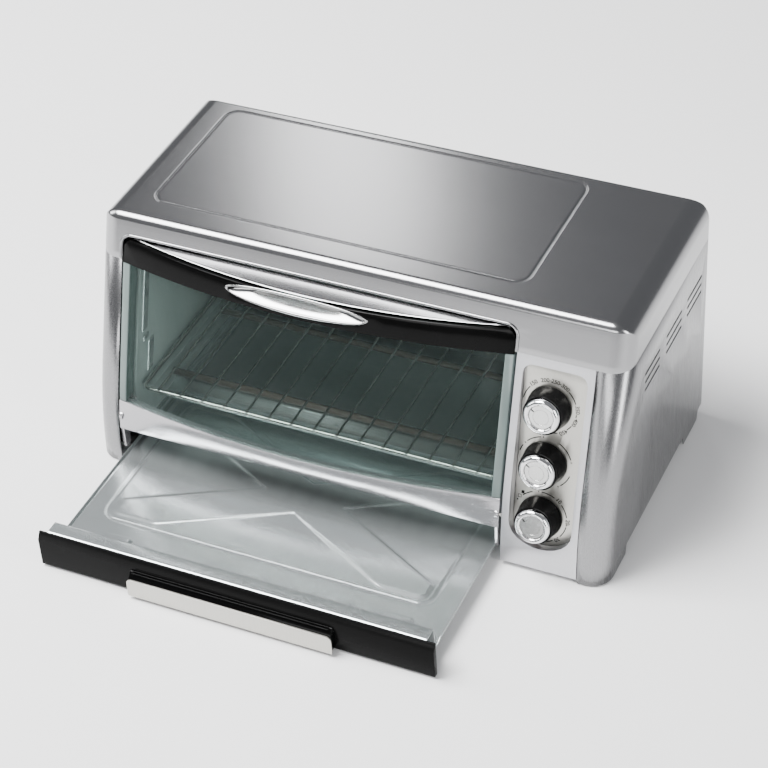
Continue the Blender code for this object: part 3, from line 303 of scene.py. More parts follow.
plastics = {
    "blackGloss": {
        "dark": (0.001, 0.001, 0.001), "light": (0.003, 0.003, 0.003),
        "specular": 0.07, "rough": 0.12, "roughSpread": 0.06, "bump": 0.01, "grain": 900.0,
    },
    "blackSatin": {
        "dark": (0.002, 0.002, 0.002), "light": (0.004, 0.004, 0.004),
        "specular": 0.06, "rough": 0.26, "roughSpread": 0.10, "bump": 0.06, "grain": 2200.0,
    },
    "knobBlack": {
        "dark": (0.003, 0.003, 0.003), "light": (0.006, 0.006, 0.006),
        "rough": 0.12, "roughSpread": 0.06, "bump": 0.01, "grain": 1400.0,
    },
    "footRubber": {
        "dark": (0.018, 0.018, 0.018), "light": (0.034, 0.034, 0.033),
        "rough": 0.74, "roughSpread": 0.12, "bump": 0.25, "grain": 1500.0,
    },
    "lensRed": {
        "dark": (0.030, 0.006, 0.005), "light": (0.065, 0.012, 0.010),
        "rough": 0.14, "roughSpread": 0.08, "bump": 0.02, "grain": 600.0, "coat": 0.3,
    },
    "brownPhenolic": {
        "dark": (0.13, 0.095, 0.06), "light": (0.22, 0.16, 0.10),
        "rough": 0.55, "roughSpread": 0.12, "bump": 0.12, "grain": 900.0,
    },
    "glassEdge": {
        "dark": (0.10, 0.13, 0.125), "light": (0.17, 0.21, 0.20),
        "rough": 0.12, "roughSpread": 0.08, "bump": 0.01, "grain": 500.0, "coat": 0.3,
    },
    "dialInk": {
        "dark": (0.001, 0.001, 0.001), "light": (0.003, 0.003, 0.003),
        "specular": 0.05, "rough": 0.60, "roughSpread": 0.10, "bump": 0.05, "grain": 2000.0,
    },
}
finishes = {name: metalFinish(name, look) for name, look in metals.items()}
finishes.update({name: plasticFinish(name, look) for name, look in plastics.items()})

glassLook = {
    "tint": (0.84, 0.895, 0.88),
    # body colour of the mixed share, which is spread evenly over the glass: a painted greenish haze of
    # reflection
    "dark": (0.10, 0.13, 0.125),
    "light": (0.16, 0.20, 0.19),
    "paintedHaze": 0.035,
    "glare": 0.7,  # mirrored share along the surface
    "rough": 0.02,
    "roughSpread": 0.05,
    "smear": 0.02,
}


def glassFinish():
    # light passes straight through, tinted; a share of it is mirrored, and that share's dark greenish body
    # colour is a painted reflection haze over the glass
    finish = Finish("ovenGlass")
    smear = finish.noise(9.0, detail=3.0)
    finish.surface(
        Base_Color=finish.tint(smear, glassLook["dark"], glassLook["light"]),
        Roughness=glassLook["rough"] + smear * glassLook["roughSpread"],
    )
    facing = finish.node("ShaderNodeLayerWeight", {}, {"Blend": 0.5}, out="Facing")
    glare = facing * facing * facing * facing * glassLook["glare"]
    # the even share spreads the painted reflection haze over the whole pane
    factor = glassLook["paintedHaze"] + glare + smear * glassLook["smear"]
    clear = finish.node("ShaderNodeBsdfTransparent", {}, {"Color": (*glassLook["tint"], 1.0)})
    body = Wire(finish, finish.shader.outputs[0])
    mixed = finish.node("ShaderNodeMixShader", {}, {0: factor.clamped(), 1: clear, 2: body})
    output = finish.tree.nodes["Material Output"]
    finish.feed(output.inputs["Surface"], mixed)
    return finish.material


finishes["ovenGlass"] = glassFinish()
print("finishes made:", len(finishes))

# ---- mesh helpers


def makeMesh(name, shape, angle, facing):
    mesh = bpy.data.meshes.new(name)
    bmesh.ops.recalc_face_normals(shape, faces=shape.faces)
    if facing:
        faceTowards(shape, Vector(facing))
    shape.to_mesh(mesh)
    shape.free()
    mesh.shade_smooth()
    mesh.set_sharp_from_angle(angle=math.radians(angle))
    return mesh


def addPiece(name, shape, finish, body, replaced=(), angle=35.0, facing=None):
    # edges steeper than angle stay sharp; an open sheet looks towards facing
    made = bpy.data.objects.new(name, makeMesh(name, shape, angle, facing))
    bpy.context.scene.collection.objects.link(made)
    made.data.materials.append(finishes[finish])
    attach(made, body)
    if replaced:
        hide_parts(*replaced)
    return made


def addGrid(shape, rings, closed=False):
    rows = [[shape.verts.new(point) for point in ring] for ring in rings]
    for low, high in zip(rows, rows[1:]):
        count = len(low)
        for i in range(count if closed else count - 1):
            j = (i + 1) % count
            shape.faces.new((low[i], low[j], high[j], high[i]))
    return rows


def faceTowards(shape, direction):
    shape.normal_update()
    if sum(face.normal.dot(direction) * face.calc_area() for face in shape.faces) < 0:
        bmesh.ops.reverse_faces(shape, faces=shape.faces)


def addTube(shape, points, radius, sides, closed=False):
    # a round bar along points, with its caps
    points = [Vector(p) for p in points]
    count = len(points)
    normal = None
    rings = []
    for i, point in enumerate(points):
        before = points[i - 1] if closed or i else point
        after = points[(i + 1) % count] if closed or i < count - 1 else point
        along = (after - before).normalized()
        if normal is None:
            other = Vector((0, 0, 1)) if abs(along.z) < 0.9 else Vector((1, 0, 0))
            normal = along.cross(other).normalized()
        normal = (normal - along * normal.dot(along)).normalized()
        side = along.cross(normal)
        ring = []
        for k in range(sides):
            angle = 2 * math.pi * k / sides
            ring.append(point + normal * radius * math.cos(angle) + side * radius * math.sin(angle))
        rings.append(ring)
    rows = addGrid(shape, rings, closed=True)
    if closed:
        for k in range(sides):
            j = (k + 1) % sides
            shape.faces.new((rows[-1][k], rows[-1][j], rows[0][j], rows[0][k]))
    else:
        shape.faces.new(rows[0])
        shape.faces.new(list(reversed(rows[-1])))


def addTurned(shape, profile, place, steps):
    # a (radius, height) profile turned round the local Z of place
    rings = []
    for k in range(steps):
        angle = 2 * math.pi * k / steps
        turned = [Vector((r * math.cos(angle), r * math.sin(angle), h)) for r, h in profile]
        rings.append([place @ point for point in turned])
    rows = addGrid(shape, rings)
    for i in range(len(profile) - 1):
        shape.faces.new((rows[-1][i], rows[-1][i + 1], rows[0][i + 1], rows[0][i]))
    bmesh.ops.remove_doubles(shape, verts=shape.verts, dist=1e-7)


def addBlock(shape, corners):
    # eight corners: four of one end, then four of the other
    verts = [shape.verts.new(c) for c in corners]
    for face in ((3, 2, 1, 0), (4, 5, 6, 7), (0, 1, 5, 4), (1, 2, 6, 5), (2, 3, 7, 6), (3, 0, 4, 7)):
        shape.faces.new([verts[i] for i in face])


def addBox(shape, place, xs, ys, zs):
    # a box between two values along each of place's axes
    ring = ((xs[0], ys[0]), (xs[1], ys[0]), (xs[1], ys[1]), (xs[0], ys[1]))
    addBlock(shape, [place @ Vector((x, y, z)) for z in zs for x, y in ring])


def thicken(made, thickness):
    sheet = made.modifiers.new("sheet", "SOLIDIFY")
    sheet.thickness = thickness
    sheet.offset = -1
    sheet.use_even_offset = True


bevel = {"angle": math.radians(32), "plain": 0.00012, "merge": 1e-6}


def roundEdges(made, width, segments):
    edges = made.modifiers.new("edges", "BEVEL")
    edges.width = width
    edges.segments = segments
    edges.limit_method = "ANGLE"
    edges.angle_limit = bevel["angle"]
    edges.harden_normals = True


def dressNode(name, finish, edge):
    # a carried-over node: its finish, merged corners and softened edges
    made = nodes[name]
    made.data.materials.clear()
    made.data.materials.append(finishes[finish])
    made.data.shade_smooth()
    weld = made.modifiers.new("weld", "WELD")
    weld.merge_threshold = bevel["merge"]
    roundEdges(made, edge or bevel["plain"], 3 if edge else 1)


# ---- the casing's cover

cover = {
    "left": -0.1992,  # pressed rectangle on the top
    "right": 0.1355,
    "rear": 0.0116,
    "front": 0.1573,
    "corner": 0.012,
    "groove": 0.0017,
    "depth": 0.0005,
    "openingLeft": -0.2116,
    "openingRight": 0.1412,
    "openingTop": 0.2077,
    "openingCorner": 0.008,
    "bead": 0.0012,
    "margin": 0.0032,  # finely divided past the groove
    "flatRear": 0.0065,
    "flatFront": 0.164,
}


def rimDistance(x, y, left, right, low, high, corner):
    # how far a point is from a round-cornered rectangle's line
    dx = abs(x - (left + right) / 2) - (right - left) / 2 + corner
    dy = abs(y - (low + high) / 2) - (high - low) / 2 + corner
    outside = math.hypot(max(dx, 0.0), max(dy, 0.0))
    return outside + min(max(dx, dy), 0.0) - corner


def fineSteps(low, high, corner, margin, start, end, fine=0.0007, coarse=0.02):
    # stations from start to end, close together near the two lines and their corners
    zones = [(low - margin, low + corner), (high - corner, high + margin)]
    edges = [start, zones[0][0], zones[0][1], zones[1][0], zones[1][1], end]
    steps = [coarse, fine, coarse, fine, coarse]
    points = []
    for (first, last), step in zip(zip(edges, edges[1:]), steps):
        count = max(1, round((last - first) / step))
        points += spread(first, last, count)[:-1]
    return points + [end]


def coverSection(inset, stations):
    top = topZ - inset
    rear = max(casing["rearFold"] - inset, 0.0005)
    fold = max(casing["topFold"] - inset, 0.0005)
    lean = math.degrees(casing["lean"])
    tangent = fold * math.tan(math.radians(90 - lean) / 2)
    points = arc((rear, top - rear), rear, 180, 90, 5)
    points += [(forward, top) for forward in stations]
    points += arc((frontAt(top, inset) - tangent, top - fold), fold, 90, lean, 10)
    low = points[-1][1]
    points += [(frontAt(z, inset), z) for z in spread(low, seamZ, 6)[1:]]
    return points


def makeCover():
    corner = casing["corner"]
    turns = [math.radians(90 * i / 10) for i in range(11)]
    edge = [(corner * (1 - math.sin(a)), corner * (1 - math.cos(a))) for a in turns]
    inner = halfWidth - corner
    xs = fineSteps(cover["left"], cover["right"], cover["corner"], cover["margin"], -inner, inner)
    stations = [(-halfWidth + dx, inset) for dx, inset in reversed(edge[1:])]
    stations += [(x, 0.0) for x in xs]
    stations += [(halfWidth - dx, inset) for dx, inset in edge[1:]]
    rear, front = cover["flatRear"], cover["flatFront"]
    ys = fineSteps(cover["rear"], cover["front"], cover["corner"], cover["margin"], rear, front)
    rings = []
    for x, inset in stations:
        ring = []
        for forward, z in coverSection(inset, ys):
            if z > topZ - 1e-6:
                away = rimDistance(
                    x, forward, cover["left"], cover["right"], cover["rear"], cover["front"], cover["corner"]
                )
                share = max(0.0, 1 - abs(away) / cover["groove"])
                z -= cover["depth"] * share * share * (3 - 2 * share)
            ring.append(at(x, forward, z))
        rings.append(ring)
    shape = bmesh.new()
    rows = addGrid(shape, rings)
    for row, side in ((rows[0], -1), (rows[-1], 1)):
        foot = shape.verts.new(at(side * halfWidth, 0, seamZ))
        shape.faces.new([foot, *row])
    made = addPiece(
        "topCoverShell", shape, "brushedSteel", "casing", ("top_cover",), 50, (0, 0, 1)
    )
    thicken(made, casing["sheet"])
    return made


def openingLine(grow, low, steps=8):
    # the door opening's outline, left foot up and over to the right foot
    left = cover["openingLeft"] - grow
    right = cover["openingRight"] + grow
    top = cover["openingTop"] + grow
    radius = cover["openingCorner"] + grow
    points = [(left, z) for z in spread(low, top - radius, 3)[:-1]]
    points += list(reversed(arc((left + radius, top - radius), radius, 90, 180, steps)))
    points += [(x, top) for x in spread(left + radius, right - radius, 24)[1:-1]]
    points += list(reversed(arc((right - radius, top - radius), radius, 0, 90, steps)))
    points += [(right, z) for z in spread(top - radius, low, 3)[1:]]
    return points


def cutOpening(shell):
    shape = bmesh.new()
    outline = openingLine(0.0, seamZ - 0.01)
    rings = [[at(x, forward, z) for x, z in outline] for forward in (frontAt(topZ) - 0.03, 0.26)]
    rows = addGrid(shape, rings, closed=True)
    shape.faces.new(rows[0])
    shape.faces.new(list(reversed(rows[1])))
    cutter = bpy.data.objects.new("openingCutter", makeMesh("openingCutter", shape, 35.0, None))
    bpy.context.scene.collection.objects.link(cutter)
    cut = shell.modifiers.new("opening", "BOOLEAN")
    cut.operation = "DIFFERENCE"
    cut.solver = "EXACT"
    cut.object = cutter
    graph = bpy.context.evaluated_depsgraph_get()
    final = bpy.data.meshes.new_from_object(shell.evaluated_get(graph))
    shell.modifiers.clear()
    shell.data = final
    bpy.data.objects.remove(cutter)
    even = shell.modifiers.new("even", "WEIGHTED_NORMAL")
    even.keep_sharp = True


shell = makeCover()
cutOpening(shell)


def makeOpeningBead():
    # rolled edge round the opening, half sunk in the cover
    shape = bmesh.new()
    line = openingLine(cover["bead"] * 1.1, seamZ + 0.0006)
    points = [at(x, frontAt(z) + 0.0001, z) for x, z in line]
    addTube(shape, points, cover["bead"], 12)
    addPiece("openingBead", shape, "brushedSteel", "casing", angle=60)


makeOpeningBead()
print("cover made")

# ---- sides, panels and what shows of the inside

louvres = {
    "groups": ((0.014, 0.051), (0.065, 0.103), (0.119, 0.154)),  # ends of the slots
    "rows": (0.1435, 0.1515, 0.1595),
    "past": 0.0008,  # blade past its slot at each end
    "section": ((0.0, 0.0019), (0.0012, 0.0019), (0.0042, -0.0022), (0.0034, -0.0026)),  # inwards, up
    "edge": 0.0002,
}


def makeLouvres(name, side):
    # a blade pressed inwards behind each slot
    shape = bmesh.new()
    outer = halfWidth - casing["sheet"] - 0.0001
    for start, end in louvres["groups"]:
        for row in louvres["rows"]:
            corners = []
            for forward in (start - louvres["past"], end + louvres["past"]):
                corners += [at(side * (outer - inward), forward, row + up) for inward, up in louvres["section"]]
            addBlock(shape, corners)
    made = addPiece(name, shape, "sideSteel", "casing", angle=30)
    roundEdges(made, louvres["edge"], 2)


makeLouvres("rightLouvreBlades", 1)
makeLouvres("leftLouvreBlades", -1)

for name, finish, edge in (
    ("left_side_panel", "sideSteel", 0.0),
    ("right_side_panel", "sideSteel", 0.0),
    ("rear_panel", "satinSilver", 0.0),
    ("bottom_plate", "bracketSteel", 0.0),
    ("front_frame", "ovenLining", 0.0),
    ("control_panel", "satinSilver", 0.0007),
    ("dial_plate", "warmNickel", 0.0002),
    ("indicator_lens", "lensRed", 0.0003),
    ("indicator_lamp", "lensRed", 0.0),
    ("control_bracket", "bracketSteel", 0.0),
    ("thermostat", "bracketSteel", 0.0006),
    ("function_switch", "brownPhenolic", 0.0),
    ("timer", "bracketSteel", 0.0006),
    ("timer_bell", "rackPlating", 0.0),
    ("cavity_left_wall", "ovenLining", 0.0),
    ("cavity_right_wall", "ovenLining", 0.0),
    ("cavity_roof", "ovenLining", 0.0),
    ("cavity_back", "ovenLining", 0.0),
    ("lower_reflector", "reflectorSheet", 0.0),
    ("upper_front_heater", "heaterSheath", 0.0),
    ("upper_rear_heater", "heaterSheath", 0.0),
    ("lower_front_heater", "heaterSheath", 0.0),
    ("lower_rear_heater", "heaterSheath", 0.0),
    ("rack_support_left", "ovenLining", 0.0002),
    ("rack_support_right", "ovenLining", 0.0002),
    ("tray_guide_left", "galvanised", 0.0002),
    ("tray_guide_right", "galvanised", 0.0002),
    ("cord_gland", "blackSatin", 0.0003),
    ("foot_pad_front_left", "footRubber", 0.0),
    ("foot_pad_front_right", "footRubber", 0.0),
    ("foot_pad_rear_left", "footRubber", 0.0),
    ("foot_pad_rear_right", "footRubber", 0.0),
    ("hinge_pin_left", "rackPlating", 0.0),
    ("hinge_pin_right", "rackPlating", 0.0),
    ("door_glass", "ovenGlass", 0.0006),
    ("door_side_trim_left", "glassEdge", 0.0008),
    ("door_side_trim_right", "glassEdge", 0.0008),
    ("door_top_rail", "blackGloss", 0.0005),
    ("door_bottom_rail", "railSilver", 0.0009),
    ("tray_fascia", "blackSatin", 0.0007),
    ("tray_grip", "blackGloss", 0.0008),
    ("grip_plate", "warmNickel", 0.0005),
    ("temperature_shaft", "bracketSteel", 0.0),
    ("function_shaft", "bracketSteel", 0.0),
    ("timer_shaft", "bracketSteel", 0.0),
):
    dressNode(name, finish, edge)
print("carried nodes dressed")

ribs = {
    "spans": ((0.112, 0.170), (0.102, 0.107), (0.070, 0.098)),  # low and high ends
    "forward": (0.187, 0.196),
    "proud": 0.0016,
    "edge": 0.0012,
}


def makeWallRibs():
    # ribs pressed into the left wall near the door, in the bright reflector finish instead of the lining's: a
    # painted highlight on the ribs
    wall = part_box("cavity_left_wall")[1].x
    shape = bmesh.new()
    start, end = ribs["forward"]
    for low, high in ribs["spans"]:
        lean = (high - low) * math.tan(casing["lean"])
        corners = []
        for x in (wall + 0.0001, wall + ribs["proud"]):
            for forward, z in ((start, low), (end, low), (end - lean, high), (start - lean, high)):
                corners.append(at(x, forward, z))
        addBlock(shape, corners)
    # the bright finish paints the ribs lighter than the lining they are pressed from
    made = addPiece("leftWallRibs", shape, "reflectorSheet", "casing", angle=30)
    roundEdges(made, ribs["edge"], 4)


makeWallRibs()


screw = {"socket": 0.0012, "socketFloor": 0.0009, "count": 4}


def makeScrew(number):
    # a domed head with a round socket
    low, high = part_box(f"rear_screw_{number}")
    middle = (low + high) / 2
    place = Matrix.Translation((middle.x, low.y, middle.z)) @ Matrix.Rotation(math.radians(-90), 4, "X")
    deep = high.y - low.y
    head = (high.x - low.x) / 2
    profile = [(0, deep * 0.45), (screw["socketFloor"], deep * 0.50), (screw["socket"], deep)]
    profile += [(head * 0.6, deep * 0.93), (head, deep * 0.4), (head, 0), (0, 0)]
    shape = bmesh.new()
    addTurned(shape, profile, place, 32)
    addPiece(f"rearScrew{number}", shape, "bracketSteel", "casing", (f"rear_screw_{number}",))


for number in range(1, screw["count"] + 1):
    makeScrew(number)

# ---- door

door = {"bow": 0.020, "gap": 0.0013, "scoopX": -0.0425, "scoopZ": 0.1962}
doorLeft = cover["openingLeft"] + door["gap"]
doorRight = cover["openingRight"] - 0.0003
doorCentre = (doorLeft + doorRight) / 2
doorHalf = (doorRight - doorLeft) / 2


def bowAt(x, bow):
    return bow * (1 - ((x - doorCentre) / doorHalf) ** 2)


ledge = {
    "end": 0.0012,  # short of the door's side
    "under": 0.0002,  # below the door's outline
    "lip": 0.0014,
    "step": 0.0004,
    "reach": 0.0009,
    "behind": 0.0036,  # behind the bowed face of the black rail
    "fall": 0.15,  # the front edge drops by this share of the bow
    "thick": 0.0012,
}


def makeLedge():
    # bright crescent that fills the space from the bowed rail back to the casing's lip
    under, step, thick = ledge["under"], ledge["step"], ledge["thick"]
    top = cover["openingTop"] - door["gap"] - under
    radius = cover["openingCorner"] + 2 * door["gap"]
    rings = []
    for x in spread(doorLeft + ledge["end"], doorRight - ledge["end"], 48):
        dx = max(doorLeft + radius - x, x - doorRight + radius, 0.0)
        backZ = top - radius + math.sqrt(max(radius**2 - dx**2, 0.0)) - under
        bow = bowAt(x, door["bow"])
        frontZ = min(cover["openingTop"] - ledge["lip"] - ledge["fall"] * bow, backZ - under)
        front = frontAt(frontZ) + bow - ledge["behind"]
        back = min(frontAt(backZ) - ledge["reach"], front - thick)
        edge = front - 0.0006
        ring = [(front, frontZ - step), (front, frontZ), (edge, frontZ + step)]
        for share in spread(0.12, 1.0, 6):
            z = frontZ + step + (backZ - frontZ - step) * share**1.3
            ring.append((edge + (back - edge) * share, min(z, backZ)))
        ring += [(back, backZ - thick), (front - 0.001, frontZ - thick)]
        rings.append([at(x, forward, z) for forward, z in ring])
    shape = bmesh.new()
    rows = addGrid(shape, rings, closed=True)
    shape.faces.new(rows[0])
    shape.faces.new(list(reversed(rows[-1])))
    addPiece("doorLedge", shape, "brushedSteel", "door", ("door_top_ledge",), 40)


makeLedge()

scoop = {
    "length": 0.1270,
    "height": 0.0155,
    "depth": 0.0112,
    "rim": 0.0011,
    "proud": 0.0007,
    "lift": 0.0034,  # the deepest line above the middle
    "inset": 0.0004,
    "lip": 0.0010,
    "sheet": 0.0006,
    "steps": 72,
}


def makeScoop():
    # a boat-shaped dish with a rolled rim, let into the black rail; its low wall slopes gently
    shape = bmesh.new()
    halfLong = scoop["length"] / 2 - scoop["inset"]
    halfTall = scoop["height"] / 2 - scoop["inset"]
    levels = []
    for turn in spread(0, math.pi, 8):
        grow = scoop["rim"] * math.cos(turn)
        levels.append((halfLong + grow, halfTall + grow, 0.0, scoop["proud"] * math.sin(turn)))
    for share in spread(0.98, 0.04, 18):
        depth = -scoop["depth"] * (1 - share**1.7)
        along, tall = (halfLong - scoop["lip"]) * share, (halfTall - scoop["lip"]) * share
        levels.append((along, tall, scoop["lift"] * (1 - share), depth))
    rings = []
    for along, tall, lift, out in levels:
        ring = []
        for k in range(scoop["steps"]):
            angle = 2 * math.pi * k / scoop["steps"]
            x = door["scoopX"] + along * math.cos(angle)
            z = door["scoopZ"] + (lift + tall * math.sin(angle)) * math.cos(casing["lean"])
            ring.append(at(x, frontAt(z) + bowAt(x, door["bow"]) + out, z))
        rings.append(ring)
    rows = addGrid(shape, rings, closed=True)
    shape.faces.new(list(reversed(rows[-1])))
    made = addPiece(
        "handleDish", shape, "dishChrome", "door", ("door_handle_scoop",), 180, (0, -1, 0)
    )
    thicken(made, scoop["sheet"])


makeScoop()

# ---- wire rack

rack = {
    "wires": 15,
    "pitch": 0.0211,
    "frameWire": 0.0015,
    "wire": 0.00105,
    "corner": 0.007,
    "inset": 0.0012,
    "stub": 0.0011,  # wire past the frame
    "weld": 1.12,
}


def makeRack():
    low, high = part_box("wire_rack")
    edge = rack["frameWire"]
    left, right = low.x + edge, high.x - edge
    rear = forwardOf(high.y) + rack["inset"]
    front = forwardOf(low.y) - rack["inset"]
    height = low.z + edge
    corner = rack["corner"]
    outline = arc((left + corner, rear + corner), corner, 180, 270, 6)
    outline += arc((right - corner, rear + corner), corner, 270, 360, 6)
    outline += arc((right - corner, front - corner), corner, 0, 90, 6)
    outline += arc((left + corner, front - corner), corner, 90, 180, 6)
    shape = bmesh.new()
    addTube(shape, [at(x, forward, height) for x, forward in outline], edge, 12, closed=True)
    lift = high.z - rack["wire"] - height
    for number in range(rack["wires"]):
        x = doorCentre + (number - (rack["wires"] - 1) / 2) * rack["pitch"]
        ends = [at(x, rear - rack["stub"], height + lift), at(x, front + rack["stub"], height + lift)]
        addTube(shape, ends, rack["wire"], 10)
        for forward in (rear, front):
            bead = Matrix.Translation(at(x, forward, height + lift * 0.75))
            radius = rack["wire"] * rack["weld"]
            bmesh.ops.create_uvsphere(shape, u_segments=10, v_segments=8, radius=radius, matrix=bead)
    addPiece("rackOfWires", shape, "rackPlating", "rack", ("wire_rack",), 50)


makeRack()
print("door and rack made")

# ---- crumb tray

tray = {
    "left": -0.1855,  # pressed rectangle
    "right": 0.1150,
    "front": 0.3213,
    "corner": 0.014,
    "ridge": 0.0016,
    "ridgeHeight": 0.0008,
    "armHalf": 0.0172,
    "armHeight": 0.0008,
    "tabs": ((-0.158, 0.3420), (0.097, 0.3420)),
    "tabSize": (0.0118, 0.0036),
    "tabHeight": 0.0022,
    "recess": (-0.0325, 0.3480, 0.0575, 0.0042),
    "recessDepth": 0.0012,
    "grid": 0.0013,
    "fineStart": 0.334,
    "lip": 0.0026,
    "lipSection": ((0.0, 1.0), (0.0, 0.25), (0.0006, 0.05)),  # inwards, share of its height
    "wall": 0.0150,
    "sheet": 0.0007,
}
trayLow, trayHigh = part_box("crumb_tray")


def trayPress(x, forward):
    # how far the floor is pressed up or down
    middleX = (tray["left"] + tray["right"]) / 2
    rear = forwardOf(trayHigh.y) + 0.010
    middleY = (rear + tray["front"]) / 2
    away = rimDistance(x, forward, tray["left"], tray["right"], rear, tray["front"], tray["corner"])
    share = max(0.0, 1 - abs(away) / tray["ridge"])
    press = -tray["ridgeHeight"] * share * share * (3 - 2 * share)
    slope = 0.53
    length = math.hypot(1, slope)
    dx, dy = x - middleX, forward - middleY
    arms = min(abs(dy - slope * dx), abs(dy + slope * dx)) / length
    inside = smooth(-away, 0.004, 0.010)
    raised = 1 - smooth(arms, tray["armHalf"] - 0.0011, tray["armHalf"] + 0.0011)
    press += tray["armHeight"] * raised * inside
    for tabX, tabForward in tray["tabs"]:
        long, tall = tray["tabSize"]
        over = rimDistance(x, forward, tabX - long, tabX + long, tabForward - tall, tabForward + tall, 0.0025)
        press += tray["tabHeight"] * (1 - smooth(over, -0.0010, 0.0012))
    recessX, recessForward, long, tall = tray["recess"]
    over = rimDistance(
        x, forward, recessX - long, recessX + long, recessForward - tall, recessForward + 0.02, 0.0035
    )
    press -= tray["recessDepth"] * (1 - smooth(over, -0.0008, 0.0008))
    return press


def makeTray():
    floorZ = trayLow.z + tray["sheet"]
    shelfZ = trayHigh.z
    rear = forwardOf(trayHigh.y)
    front = forwardOf(trayLow.y)
    wall = front + 0.0003 - tray["wall"]
    left = trayLow.x + tray["sheet"] * 0.5
    right = trayHigh.x - tray["sheet"] * 0.5
    inner = spread(left + 0.0016, right - 0.0016, round((right - left) / tray["grid"]))
    fineStart = tray["fineStart"]
    rows = spread(rear, fineStart, round((fineStart - rear) / tray["grid"]))[:-1]
    rows += spread(fineStart, wall - 0.0022, round((wall - fineStart) / (tray["grid"] / 2)))
    rise = shelfZ - floorZ
    profile = [(f, floorZ, 1.0) for f in rows]
    profile += [(wall - 0.0012, floorZ + 0.0003, 0.0), (wall - 0.0004, floorZ + 0.0012, 0.0)]
    profile += [(wall + 0.0004, floorZ + rise - 0.0014, 0.0), (wall + 0.0009, floorZ + rise - 0.0004, 0.0)]
    profile += [(wall + 0.0022, shelfZ, 0.0), (front - 0.0030, shelfZ, 0.0), (front - 0.0006, shelfZ, 0.0)]
    profile += [(front - 0.0001, shelfZ - 0.0006, 0.0), (front, shelfZ - 0.0040, 0.0)]
    rings = []
    for forward, z, pressed in profile:
        lip = tray["lip"] * pressed * (1 - smooth(forward, wall - 0.012, wall - 0.004))
        ring = [at(left + inward, forward, z + lip * share) for inward, share in tray["lipSection"]]
        ring += [at(x, forward, z + (trayPress(x, forward) if pressed else 0.0)) for x in inner]
        ring += [at(right - inward, forward, z + lip * share) for inward, share in reversed(tray["lipSection"])]
        rings.append(ring)
    shape = bmesh.new()
    addGrid(shape, rings)
    made = addPiece(
        "crumbTraySheet", shape, "galvanised", "tray", ("crumb_tray",), 60, (0, 0, 1)
    )
    thicken(made, tray["sheet"])


makeTray()

grip = {"ribs": (0.0022, 0.0042), "rib": 0.00045, "end": 0.003, "slope": 0.4}


def makeGripRibs():
    # two thin ribs along the top of the grip
    low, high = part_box("tray_grip")
    shape = bmesh.new()
    for back in grip["ribs"]:
        z = high.z - 0.0001 + (back - grip["ribs"][0]) * grip["slope"]
        line = [Vector((x, low.y + back, z)) for x in spread(low.x + grip["end"], high.x - grip["end"], 20)]
        addTube(shape, line, grip["rib"], 8)
    addPiece("gripRibs", shape, "blackGloss", "tray", angle=60)


makeGripRibs()
print("tray made")

# ---- dials

dial = {
    "tilt": math.radians(13.0),
    "forward": 0.2141,
    "centreZ": 0.0976,
    "x": 0.1730,
    "pitch": 0.0500,
    "arcRadius": 0.0226,
    "arcWidth": 0.00085,
    "lift": 0.00002,  # print above the plate
    "ink": 0.00008,
    "bold": 0.00007,
    "numberHeight": 0.0050,
    "numberRadius": 0.0232,
}
knob = {
    "base": 0.0188,
    "tip": 0.0167,
    "height": 0.0172,
    "stand": 0.0008,
    "ring": 0.0152,
    "disc": 0.0102,
    "seat": 0.0016,  # sunk into the skirt
    "ringTall": 0.0055,
    "faceDrop": 0.0018,
    "clear": 0.0003,
    "pointer": math.radians(150),
}


def platePlace(along=0.0, x=0.0, out=0.0):
    tilt = dial["tilt"]
    up = Vector((0, math.sin(tilt), math.cos(tilt)))
    outWay = Vector((0, -math.cos(tilt), math.sin(tilt)))
    origin = at(x, dial["forward"], dial["centreZ"]) + up * along + outWay * out
    place = Matrix((Vector((1, 0, 0)), up, outWay)).transposed().to_4x4()
    place.translation = origin
    return place


def addTurnedPiece(name, profile, place, finish, body, replaced=()):
    shape = bmesh.new()
    addTurned(shape, profile, place, 96)
    addPiece(name, shape, finish, body, replaced, 40)


